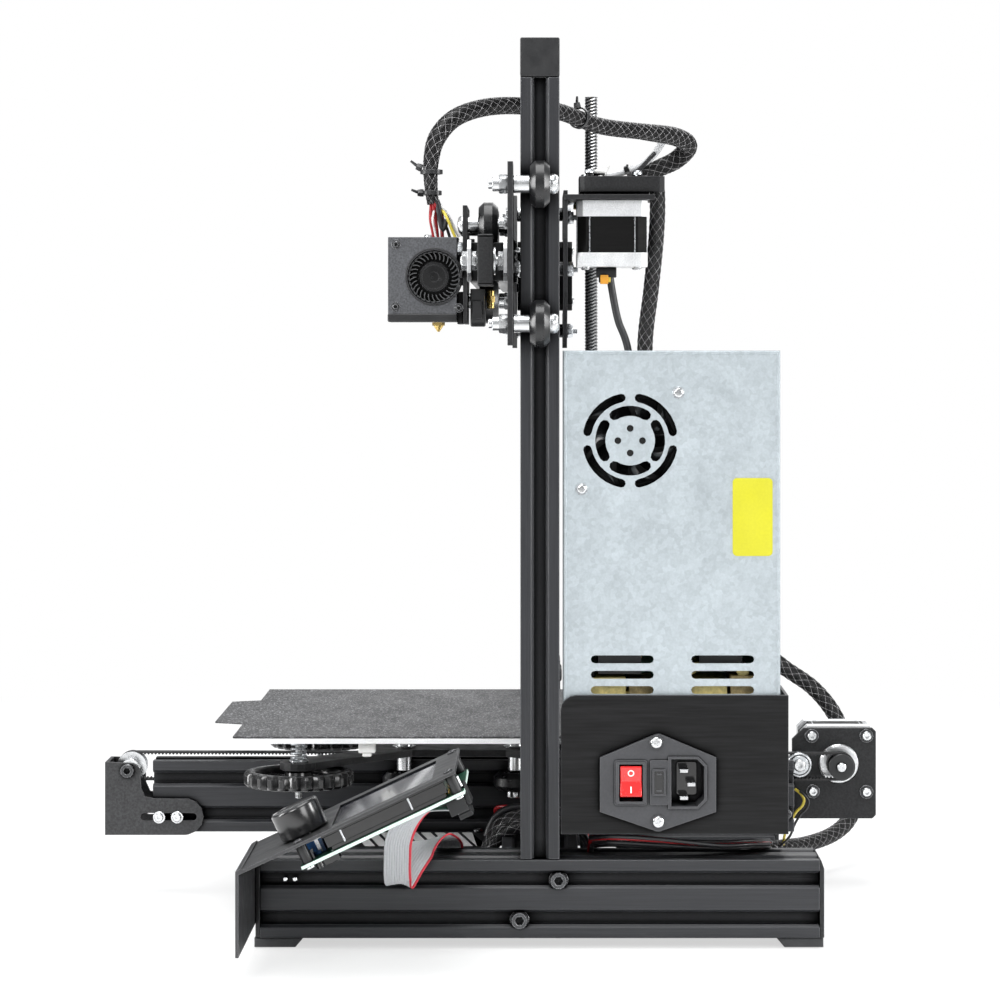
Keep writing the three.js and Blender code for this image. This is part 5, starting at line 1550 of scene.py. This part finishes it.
def gantry_axle(x, z, outer, name):
    """Steel spacer between plate and wheel, domed bolt behind the wheel, lock nut in front of the plate."""
    b = Build()
    if outer:
        b.mat(0).ring("y", 2.3, 4.6, -13.5, -5.15, (x, 0, z), 32, ch=0.35)
        b.mat(0)
        hex_nut(b, "y", (x, -16.45, z), -1, 4.9, 4.4, 2.3)
        b.ring("y", 2.25, 3.7, -24.2, -20.5, (x, 0, z), 28, ch=0.35)
        b.ring("y", 1.9, 2.4, -26.2, -24.2, (x, 0, z), 20, ch=0.2)
    b.mat(0)
    # washers and head behind the wheel
    b.ring("y", 2.3, 5.0, 5.2, 6.0, (x, 0, z), 32, ch=0.15)
    prof = [(0, 0), (5.2, 0), (5.3, 0.5), (5.0, 1.7), (4.2, 2.9), (3.0, 3.7), (1.75, 3.9), (1.6, 3.6), (1.6, 1.9), (0, 1.7)]

    def rad(i, t):
        return hexr(i, t) if i in (6, 7, 8) else 1

    b.lathe("y", [(r, 6.0 + a) for r, a in prof], (x, 0, z), 36, radial=rad)
    return b.make(name, "gantry", MAT["steel"], smooth=32)


gantry_axle(OUTX, 389.5, True, "lift_axle_right_upper")
gantry_axle(OUTX, 318.7, True, "lift_axle_right_lower")
gantry_axle(INNX, 354.1, False, "lift_axle_right_inner")
gantry_axle(-OUTX, 389.5, False, "lift_axle_left_upper")
gantry_axle(-OUTX, 317.2, False, "lift_axle_left_lower")
gantry_axle(-INNX, 354.1, False, "lift_axle_left_inner")

# eccentric nut faces and the bolts that hold the beam to the plates
b = Build()
for sx in (1, -1):
    for z in (343.0, 360.0):
        b.mat(0)
        cap_screw(b, "y", (sx * 137.0, -13.6, z), 1, 2.7, 1.6, 1.5)
    b.mat(1)
    hex_nut(b, "y", (sx * INNX, -13.4, 354.1), 1, 5.2, 3.0, 2.3)
    b.ring("y", 2.3, 4.2, -10.4, -5.3, (sx * INNX, 0, 354.1), 28, ch=0.3)
for x, z in ((-181.3, 389.5), (-181.3, 317.2)):
    b.mat(1).ring("y", 2.3, 4.6, -13.5, -5.2, (x, 0, z), 32, ch=0.3)
b.make("gantry_plate_bolts", "gantry", [MAT["dark_screw"], MAT["steel"]], smooth=32)

# left rear plate: bolts, spacers and lock nuts seen behind the upright
b = Build()
s = 3190 / (1800 + 150)
for u, v, r in ((566.5, 200.5, 2.6), (568.5, 218.5, 3.1), (570.5, 270.0, 3.2), (571.0, 331.0, 3.2)):
    y, z = (u - 535) / s - 2.5, 305.3 - (v - 350) / s
    b.mat(0)
    b.ring("y", 1.6, r + 0.9, 17.0, 17.8, (-140 if v < 300 else -166, 0, z), 28, ch=0.12)
    b.mat(1)
    hex_nut(b, "y", (-140 if v < 300 else -166, 17.8, z), 1, r + 0.6, 3.2, 1.6)
    b.ring("y", 0.7, 1.7, 21.0, 23.6, (-140 if v < 300 else -166, 0, z), 18, ch=0.2)
for x, z in ((-181.3, 389.5), (-181.3, 317.2), (-121.7, 354.1)):
    b.mat(0).ring("y", 2.3, 4.2, 10.1, 14.4, (x, 0, z), 28, ch=0.2)
    b.mat(1)
    hex_nut(b, "y", (x, 17.0, z), 1, 4.4, 3.4, 2.0)
b.make("rear_plate_bolts", "gantry", [MAT["dark_screw"], MAT["zinc"]], smooth=32)

# idler bracket at the beam's right end: black strap round the beam's end, silver cheeks, nuts
b = Build()
ys0, ys1 = -32.0, -23.8
b.mat(0)
b.box(167.2, 169.3, ys0, ys1, 338.5, 364.5)
b.box(144.3, 169.3, ys0, ys1, 362.6, 364.6)
b.box(144.3, 169.3, ys0, ys1, 338.2, 340.2)
b.make("idler_strap", "gantry", MAT["powder"], bevel=0.6, bevel_seg=3)
b = Build()
for y0, y1 in ((-37.3, -35.3), (-18.7, -16.7)):
    b.mat(0).prism("y", [(144.3, 340.5), (160, 340.5), (166.5, 345), (166.5, 357.5), (160, 362), (144.3, 362)], y0, y1)
for y, sg in ((-37.3, -1), (-35.2, 1), (-18.8, -1)):
    b.mat(1)
    hex_nut(b, "y", (158, y, 351.2), sg, 5.0, 3.0, 2.0)
b.mat(1).cyl("y", 2.2, -41.0, -16.8, (158, 0, 351.2), 24, ch=0.3)
b.make("idler_cheeks", "gantry", [MAT["aluminium"], MAT["steel"]], smooth=32, bevel=0.2)
# dust cap of the beam's right end
b = Build()
b.mat(0).prism("x", rrect(-36.8, -17.2, 341.4, 361.0, 0.8), 144.2, 145.6)
b.make("gantry_beam_cap", "gantry", MAT["plastic"], bevel=0.3)

# ------------------------------------------------------------------ hot end carriage
b = Build()
for x, z in ((122, 371), (78, 371), (100, 331.4)):
    b.mat(0)
    b.ring("y", 2.3, 4.2, -37.9, -32.3, (x, 0, z), 32, ch=0.3)
    b.ring("y", 2.3, 4.0, -21.7, -18.8, (x, 0, z), 28, ch=0.2)
    prof = [(0, 0), (4.9, 0), (5.0, 0.4), (4.7, 1.5), (3.9, 2.4), (1.75, 2.9), (1.6, 2.7), (1.6, 1.4), (0, 1.3)]

    def rad(i, t):
        return hexr(i, t) if i in (5, 6, 7) else 1

    b.lathe("y", [(r, -40.3 - a) for r, a in prof], (x, 0, z), 36, radial=rad)
    hex_nut(b, "y", (x, -18.8, z), 1, 4.6, 2.0, 2.2)
b.make("carriage_axles", "carriage", MAT["steel"], smooth=32)

# belt clamps on the carriage plate, with silver nuts
b = Build()
for x in (74.5, 125.5):
    b.mat(0).box(x - 3.2, x + 3.2, -37.9, -34.2, 353.5, 363.5)
    b.mat(1)
    hex_nut(b, "y", (x, -40.4, 358.5), -1, 3.4, 2.6, 1.3)
b.mat(0).box(66.5, 133.5, -41.5, -40.5, 343.0, 347.0)
b.make("carriage_belt_clamps", "carriage", [MAT["plastic"], MAT["zinc"]], smooth=32, bevel=0.25)

# behind the shroud: heat sink fins, heater wires' sleeve
b = Build()
b.mat(0)
z = 336.6
while z < 360:
    b.ring("z", 5.0, 10.6, z, z + 1.0, (97, -58, 0), 40, ch=0.15)
    z += 2.5
b.mat(1).box(85.6, 102.4, -66.5, -49.5, 321.2, 331.8)
b.mat(2).cyl("y", 3.2, -68.8, -48.5, (92.5, 0, 325), 24, ch=0.3)
b.mat(2).cyl("z", 3.6, 360.9, 366.8, (97, -58, 0), 24, ch=0.4)
b.make("hot_end_fins", "carriage", [MAT["aluminium"], MAT["orange"], MAT["steel"]], smooth=32)

# small parts between shroud and gantry: brass fitting, black fan duct, fan frame
b = Build()
s = 3190 / (1800 - 120)
y, z = (490.5 - 535) / s - 2.5, 305.3 - (299 - 350) / s
b.mat(0).cyl("z", 2.0, z - 5, z + 5, (112, y, 0), 28, ch=0.4)
b.mat(0).cyl("z", 2.6, z - 1.6, z + 1.8, (112, y, 0), 6)
b.mat(1).box(92, 121, -43.4, -40.6, 318.9, 336.0)
b.mat(1).box(104, 122.5, -36.5, -29.0, 320.5, 337.5)
b.mat(1).cyl("y", 5.0, -36.5, -28.5, (118, 0, 322.5), 28, ch=0.6)
b.mat(1).box(122.4, 123.6, -35.4, -30.4, 321.6, 331.0)
b.make("carriage_fittings", "carriage", [MAT["brass"], MAT["plastic"], MAT["zinc"]], smooth=32, bevel=0.3)


# ------------------------------------------------------------------ blower wheel and shroud details
MAT["blade"] = material("blower_plastic", (0.085, 0.087, 0.09), 0.30, 0.0, var=0.08, grain=0.08, bump=0.15, bump_scale=1500, bump_dist=0.03)
FYB, FZB = -55.5, 343.7
b = Build()
b.mat(1).lathe("x", [(0, 111.4), (13.5, 111.4), (13.5, 112.3), (8.2, 112.4), (8.1, 123.6), (7.6, 124.2), (2.6, 124.3), (2.4, 124.0), (0, 124.0)], (0, FYB, FZB), 64)
nb = 30
for k in range(nb):
    t0 = 2 * math.pi * k / nb
    pts = []
    for i in range(4):
        f = i / 3
        r = 9.4 + (13.5 - 9.4) * f
        a = t0 + 0.16 * f * f + 0.03 * f
        pts.append((r, a))
    outer = [(FYB + r * math.cos(a + 0.024), FZB + r * math.sin(a + 0.024)) for r, a in pts]
    inner = [(FYB + r * math.cos(a - 0.024), FZB + r * math.sin(a - 0.024)) for r, a in reversed(pts)]
    b.mat(0).prism("x", outer + inner, 112.2, 123.3)
b.ring("x", 12.9, 13.6, 122.3, 123.3, (0, FYB, FZB), 64, ch=0.1)
b.mat(1).ring("x", 6.2, 6.6, 124.15, 124.35, (0, FYB, FZB), 48)
b.mat(1).cyl("x", 0.7, 124.1, 124.5, (0, FYB + 3.1, FZB - 1.4), 16, ch=0.1)
b.mat(1).ring("x", 0.5, 0.8, 124.0, 124.4, (0, FYB - 1.0, FZB - 0.4), 16)
o = b.make("blower_wheel", "blower_impeller_body", [MAT["blade"], MAT["knob_rib"]], smooth=30)
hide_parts("blower_impeller")

b = Build()
b.mat(0).ring("x", 14.1, 15.2, 124.9, 125.5, (0, FYB, FZB), 80, ch=0.2)
b.make("shroud_inlet_rim", "carriage", MAT["powder"], smooth=32)
b = Build()
s = 3190 / (1800 - 125)
for u, v in ((396.0, 244.5), (395.5, 306.7), (458.8, 308.0)):
    y, z = (u - 535) / s - 2.5, 305.3 - (v - 350) / s
    b.mat(1).ring("x", 1.9, 2.5, 124.9, 125.25, (0, y, z), 28, ch=0.1)
    b.mat(0)
    socket_head(b, "x", (125.15, y, z), 1, 1.75, 1.1, steel=1, hexr_mm=0.95)
b.make("shroud_screws", "carriage", [MAT["dark_screw"], MAT["dark_screw"]], smooth=32)
b = Build()
# lip of the shroud's lower edge and the duct's outlet
b.box(98.0, 125.6, -79.9, -43.4, 320.0, 324.4)
b.make("shroud_lower_lip", "carriage", MAT["plastic"], bevel=0.8, bevel_seg=3)
b = Build()
b.prism("z", rrect(76, 97, -79.9, -43.4, 1.0), 364.7, 365.4)
b.make("shroud_top_fold", "carriage", MAT["powder"], bevel=0.25)

# ------------------------------------------------------------------ extruder: fittings, filament gear, tube
b = Build()
b.mat(0).ring("z", 2.6, 5.6, 398.4, 409.0, (-124.3, 43.6, 0), 40, ch=0.3)
for k in range(22):
    a = 2 * math.pi * k / 22
    b.xf = Matrix.Translation(Vector((-124.3, 43.6, 0))) @ Matrix.Rotation(a, 4, "Z")
    b.mat(0).box(5.3, 5.95, -0.3, 0.3, 399.6, 408.0)
b.xf = None
b.mat(1).cyl("z", 2.5, 394.9, 411.0, (-124.3, 43.6, 0), 24, ch=0.3)
b.make("extruder_gear", "gantry", [MAT["brass"], MAT["steel"]], smooth=32)
b = Build()
for (x, y) in ((-139.8, 28.1), (-139.8, 59.1), (-109.0, 59.0)):
    b.mat(0)
    socket_head(b, "z", (x, y, 409.6 if x < -120 else 410.2), 1, 2.8, 2.4, steel=0, hexr_mm=1.3)
b.mat(0)
socket_head(b, "z", (-109.5, 30.0, 411.4), 1, 2.8, 2.0, steel=0, hexr_mm=1.3)
b.make("extruder_screws", "gantry", MAT["zinc"], smooth=32)
# push-in fitting that points forward and up, with its collar
b = Build()
b.xf = Matrix.Translation(Vector((-114.0, 36.4, 407.5)))
b.mat(0).lathe("z", [(0, -0.5), (4.4, -0.5), (4.4, 3.6), (0, 3.6)], (0, 0, 0), 6)
b.mat(1).cyl("z", 4.2, 3.6, 6.0, (0, 0, 0), 32, ch=0.6)
b.make("extruder_fitting", "gantry", [MAT["plastic"], MAT["white"]], smooth=32, bevel=0.15)

# spring of the lever
b = Build()
pts = []
for i in range(120):
    t = i / 119
    a = 2 * math.pi * 5.5 * t
    pts.append((-112.6 + 3.0 * math.cos(a), 46.0 + 12.5 * t - 3.0, 404.4 + 3.0 * math.sin(a)))
b.tube(pts, 0.45, 6)
b.make("extruder_spring", "gantry", MAT["zinc"], smooth=60)


# ------------------------------------------------------------------ cables
MAT["braid_light"] = material("sleeve_braid_light", (0.25, 0.245, 0.25), 0.28, 0.0, var=0.75, var_scale=420, grain=0.1, bump=0.15, spec=0.7)
MAT["braid_red"] = material("sleeve_braid_red", (0.11, 0.02, 0.025), 0.45, 0.0, var=0.5, var_scale=300, grain=0.1, bump=0.2)


def resample(pts, step):
    path = smooth_path(pts, 24)
    out, acc = [path[0]], 0.0
    for a, c in zip(path, path[1:]):
        d = (c - a).length
        if d < 1e-9:
            continue
        t = step - acc
        while t <= d:
            out.append(a + (c - a) * (t / d))
            t += step
        acc = d - (t - step)
    return out


def frames(path, up=(0, 0, 1)):
    nrm, out = None, []
    for i, p in enumerate(path):
        t = (path[min(i + 1, len(path) - 1)] - path[max(i - 1, 0)]).normalized()
        if nrm is None:
            ref = Vector(up)
            if abs(t.dot(ref)) > 0.9:
                ref = Vector((1, 0, 0))
            nrm = (ref - t * ref.dot(t)).normalized()
        else:
            nrm = (nrm - t * nrm.dot(t)).normalized()
        out.append((p, nrm, t.cross(nrm)))
    return out


def braided(name, body, pts, r, flat=1.0, n_strands=10, pitch=16.0, step=1.6, rs=None, up=(0, 0, 1), ends=True):
    """Expanding sleeve: dark core under helical strands that weave over and under one another."""
    path = resample(pts, step)
    fr = frames(path, up)
    n = len(path)
    rad = [r * (rs(i / (n - 1)) if rs else 1.0) for i in range(n)]
    b = Build()
    seg = 16
    rings = []
    for i, (p, u, w) in enumerate(fr):
        rr = rad[i] - 0.35
        rings.append(b.verts([p + u * (rr * flat * math.cos(2 * math.pi * k / seg)) + w * (rr * math.sin(2 * math.pi * k / seg)) for k in range(seg)]))
    b.mat(0)
    for a, c in zip(rings, rings[1:]):
        for k in range(seg):
            k2 = (k + 1) % seg
            b.face([a + k, a + k2, c + k2, c + k])
    b.face([rings[0] + k for k in reversed(range(seg))])
    b.face([rings[-1] + k for k in range(seg)])
    for hand in (1, -1):
        for sidx in range(n_strands):
            b.mat(2 if ((sidx + 2 * (hand > 0)) % 4 == 0) else 1)
            rows = []
            for i, (p, u, w) in enumerate(fr):
                a = 2 * math.pi * (sidx / n_strands + hand * i * step / pitch)
                weave = 0.12 * math.cos(n_strands * a + hand * math.pi / 2)
                ro = rad[i] + 0.05 + weave
                half = 0.50 / n_strands
                ring = []
                for (da, dr) in ((-half / 1.0 * 1.0, -0.16), (half, -0.16), (half * 0.6, 0.16), (-half * 0.6, 0.16)):
                    aa = a + da * 1.6
                    q = ro + dr
                    ring.append(p + u * (q * flat * math.cos(aa)) + w * (q * math.sin(aa)))
                rows.append(b.verts(ring))
            for r0, r1 in zip(rows, rows[1:]):
                for q in range(4):
                    q2 = (q + 1) % 4
                    b.face([r0 + q, r0 + q2, r1 + q2, r1 + q])
            b.face([rows[0] + q for q in (3, 2, 1, 0)])
            b.face([rows[-1] + q for q in (0, 1, 2, 3)])
    return b.make(name, body, [MAT["sleeve"], MAT["braid"], MAT["braid_light"]], smooth=45)


def wires(name, body, runs, r=0.75, smooth=60, seg=10):
    """runs: (material index, points[, radius]) along smoothed paths."""
    b = Build()
    for run in runs:
        b.mat(run[0]).tube(resample(run[1], 1.5), run[2] if len(run) > 2 else r, seg)
    return b.make(name, body, [MAT["wire_red"], MAT["wire_black"], MAT["wire_yellow"], MAT["wire_white"], MAT["wire_blue"], MAT["tube"]], smooth=smooth)


def tie(b, c, t, r, width=2.4, tail=6.0, tail_dir=(0, -0.7, 0.7), flat=1.0):
    """Cable tie round a cable at c, whose direction is t."""
    t = Vector(t).normalized()
    rot = t.to_track_quat("Z", "X").to_matrix().to_4x4()
    old = b.xf
    b.xf = Matrix.Translation(Vector(c)) @ rot
    b.ring("z", r, r + 0.9, -width / 2, width / 2, (0, 0, 0), 28, ch=0.15)
    b.xf = old
    d = Vector(tail_dir).normalized()
    base = Vector(c) + d * (r + 0.3)
    b.tube([base, base + d * 1.5, base + d * 3.2], [2.0, 2.0, 1.7], 4)
    b.tube([base + d * 1.2, base + d * tail * 0.6 + t * 0.6, base + d * tail + t * 1.6], [0.9, 0.8, 0.6], 4)


# loom of the hot end: over the top to the extruder side, folded there
hot_pts = [ph(433, 204, 100), ph(431, 186, 99), ph(431, 162, 96), ph(437, 138, 90), ph(455, 118, 78), ph(485, 107.5, 60), ph(521, 106, 36),
           ph(560, 112, 0), ph(600, 126, -38), ph(645, 132, -72), ph(676, 137, -98), ph(688, 146, -112), ph(676, 160, -119), ph(655, 170, -120), ph(640, 179, -118)]


def hot_r(t):
    return 0.62 + 0.38 * min(t / 0.12, 1) if t < 0.12 else (1.0 if t < 0.72 else 1.0 + 0.18 * math.sin((t - 0.72) / 0.28 * math.pi))


o = braided("hot_end_loom", None, hot_pts, 4.7, flat=0.95, n_strands=24, pitch=40, step=1.0, rs=hot_r)
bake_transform(o)

# loom down from the extruder, behind the power supply, round the back of the bed motor and under the rail to the control box
down_pts = [ph(640, 181, -119), ph(655, 186, -121), ph(657.5, 204, -122), ph(656, 240, -123), ph(651, 290, -124), ph(645, 346, -125),
            ph(648, 410, -126), ph(668, 490, -126), ph(705, 575, -126), ph(748, 635, -126), ph(781, 665, -126), ph(812, 687, -125), ph(833, 712, -124),
            ph(846, 742, -122), ph(853, 772, -112), ph(855, 797, -100), ph(849, 819, -90), ph(833, 834, -76), ph(808, 843.5, -55), ph(783, 847, -30),
            Vector((-2, 121, 23)), Vector((26, 84, 24)), Vector((48, 50, 33)), Vector((60, 27, 48)), Vector((66, 2, 53)), Vector((70, -20, 48)), Vector((71, -28.5, 33))]
o = braided("gantry_loom", None, down_pts, 4.5, flat=0.88, n_strands=24, pitch=40, step=1.2, up=(1, 0, 0))
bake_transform(o)

# motor lead of the extruder with its plug
mp = [ph(609, 268, -124), ph(612, 290, -124.5), ph(618, 320, -125), ph(627, 345, -126), Vector((-127, 59, 278)), Vector((-126.5, 69, 250)), Vector((-126, 75, 232))]
o = wires("extruder_motor_lead", None, [(1, mp, 2.3)])
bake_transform(o)
b = Build()
c = ph(604.5, 279.5, -121)
b.mat(0).box(c.x - 4, c.x + 4, c.y - 2.6, c.y + 2.2, c.z - 2.7, c.z + 2.7)
b.mat(1).box(c.x - 2.5, c.x + 2.5, c.y + 2.2, c.y + 3.6, c.z - 1.7, c.z + 1.7)
b.mat(2).box(-130, -118, 34.5, 46.5, 349.0, 354.9)
b.mat(2).box(-128.5, -119.5, 36.0, 43.0, 346.0, 349.0)
b.make("extruder_motor_plug", "gantry", [MAT["orange"], MAT["wire_yellow"], MAT["plastic"]], bevel=0.4)
o = wires("extruder_motor_wires", "gantry", [(2, [(-123, 39.0, 352), (-122, 38.5, 349.5), (c.x, c.y, c.z + 2.5)], 0.7),
                                            (1, [(-126, 40.0, 352), (-125, 41, 349), (-124.5, 43, 346)], 0.7),
                                            (1, [(-121, 42.0, 352), (-122.5, 43.5, 349), (-124, 44.0, 346)], 0.7)])

# wires between the loom and the hot end
top = ph(433, 203, 100)
runs = []
for k, (m, u, v, x, mid, r) in enumerate(((0, 434.5, 240.5, 101, 430.5, 0.95), (0, 438.0, 240.5, 99, 435.5, 1.0), (0, 442.5, 241.0, 96, 441.5, 1.0),
                                          (2, 456.5, 240.0, 102, 447.5, 0.8), (3, 460.5, 238.5, 98, 450.0, 0.8), (1, 446.5, 218.0, 101, 440.0, 1.5), (3, 436.5, 241.0, 104, 432.5, 0.6),
                                          (1, 452.0, 245.0, 94, 443.0, 0.8))):
    a0 = ph(431.5 + 0.9 * k, 200, 98 + (k % 3) * 1.6)
    runs.append((m, [a0, ph((431.5 + k + mid) / 2, 208, 99 + (k % 3)), ph(mid, 219, x), ph((mid + u) / 2, 230, x), ph(u, v, x)], r))
wires("hot_end_wires", "carriage", runs)
b = Build()
tie(b, ph(431.5, 172, 97), (0, 0, 1), 5.1, tail=6.5, tail_dir=(0, -0.9, 0.35))
tie(b, ph(432.0, 193, 99.5), (0, 0, 1), 4.3, tail=6.5, tail_dir=(0.2, -1, 0.0))
b.make("hot_end_ties", "carriage", MAT["plastic"], smooth=35)
b = Build()
c = ph(579, 118, -19)
tie(b, c, (-0.85, 0.5, -0.12), 5.4, tail=7, tail_dir=(0, -0.15, 1))
o = b.make("loom_tie", None, MAT["plastic"], smooth=35)
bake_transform(o)

# filament tube: short hooked run from the extruder's fitting into the loom
ft = [Vector((-114.0, 36.4, 412.5)), ph(603, 176.5, -114.5), ph(610, 175.5, -116), ph(622, 172.5, -117), ph(640, 165.5, -116), ph(652, 157.0, -113),
      ph(658, 149.0, -109), ph(663, 141.5, -103), ph(668, 136.0, -96)]
b = Build()
b.mat(0).tube(resample(ft, 1.2), 2.05, 16)
b.make("filament_tube", "gantry", MAT["tube"], smooth=50)
b = Build()
c = ph(600.5, 183, -112)
b.mat(0).cyl("x", 4.4, c.x - 3.5, c.x + 3.5, (0, c.y, c.z), 28, ch=0.8)
b.mat(0).tube([ph(603, 178, -112), ph(606, 173, -112), ph(609, 166, -112)], [0.9, 0.7, 0.4], 8)
b.make("tube_collar", "gantry", MAT["white"], smooth=40)
# black clip and lead beside the tube
wires("extruder_clip_lead", "gantry", [(1, [ph(628, 178, -113), ph(640, 169, -111), ph(650, 158, -109), ph(655, 153, -107)], 1.3),
                                      (1, [ph(628, 178, -113), ph(636, 181, -114), ph(648, 182, -116), ph(655, 188, -118)], 1.6)])
b = Build()
tie(b, ph(630, 177, -117), (0, 0.8, 0.3), 3.6, tail=4, tail_dir=(0.3, -0.4, 0.9))
b.make("extruder_tie", "gantry", MAT["plastic"], smooth=35)

# bed heater loom
bed_pts = [Vector((88, -28.5, 31)), Vector((90, -20, 46)), Vector((90, 0, 52)), Vector((80, 40, 52.5)), Vector((60, 82, 56)), Vector((42, 102, 70)), Vector((28, 96, 86)), Vector((16, 78, 93.5)), Vector((9, 69, 94))]
o = braided("bed_loom", None, bed_pts, 3.3, n_strands=16, pitch=28, step=1.2)
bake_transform(o)

# rear: plug and lead of the bed motor, mains wires under the bracket
b = Build()
b.mat(0).box(-36, -24, 165, 178, 43.4, 49.2)
b.mat(1).box(-34, -26, 166, 176, 40.0, 43.4)
b.make("bed_motor_plug", "frame", [MAT["plastic"], MAT["white"]], bevel=0.4)
lp = [ph(795, 789, -4), ph(800, 793, -3), ph(804, 799, -3), ph(802, 806, -3), ph(796, 812, -4), ph(790, 822, -6), ph(785, 834, -12), ph(783, 845, -24)]
wires("bed_motor_earth", "frame", [(2, lp, 0.8), (1, [p + Vector((2, 2.5, -1.0)) for p in lp[:-1]] + [lp[-1] + Vector((4, -2, 0))], 0.7)])
mains = []
for k, (m, v0, v1) in enumerate(((1, 836.5, 846.5), (0, 838.0, 846.0), (1, 842.5, 849.0), (1, 838.0, 843.0), (0, 836.0, 847.0), (1, 845.0, 848.5))):
    x = 166 - 3.0 * k
    mains.append((m, [ph(590, v0 + 1.5, x - 12), ph(612, v0, x), ph(650, v0 + 2, x), ph(690, (v0 + v1) / 2 + 1, x - 2), ph(722, v1 - 1.0, x - 6), ph(748, v1 - 2.0, x - 14), ph(770, v1 - 2.5, x - 30)], 1.0))
wires("mains_wires", "frame", mains)

# cables that leave the control box towards the display and the screw motor
wires("box_leads", "frame", [(0, [(20, -30.5, 28), (10, -24, 40), (0 + 18, -23, 50), (30, 0, 50), (34, 22, 47), (34, 27, 32), (48, 26, 26), (90, 25, 26), (128, 25, 36), (150, 26, 51)], 1.0),
                             (1, [(24, -30.5, 28), (22, -24, 42), (28, -10, 50), (40, 10, 49), (44, 24, 40), (48, 28, 30), (62, 27, 23), (95, 26, 23), (130, 26, 34), (152, 27, 50)], 1.2)])
wires("lift_motor_lead", "frame", [(1, [(-152, 34, 45.5), (-150, 36, 40), (-141, 40, 34), (-124, 44, 30), (-100, 36, 27), (-70, 27, 26), (-20, 25, 26), (20, 25, 26), (34, 26, 34), (38, 14, 47), (30, -10, 52), (26, -24, 46), (26, -30.5, 32)], 2.0)])

# ------------------------------------------------------------------ final view layer update
bpy.context.view_layer.update()
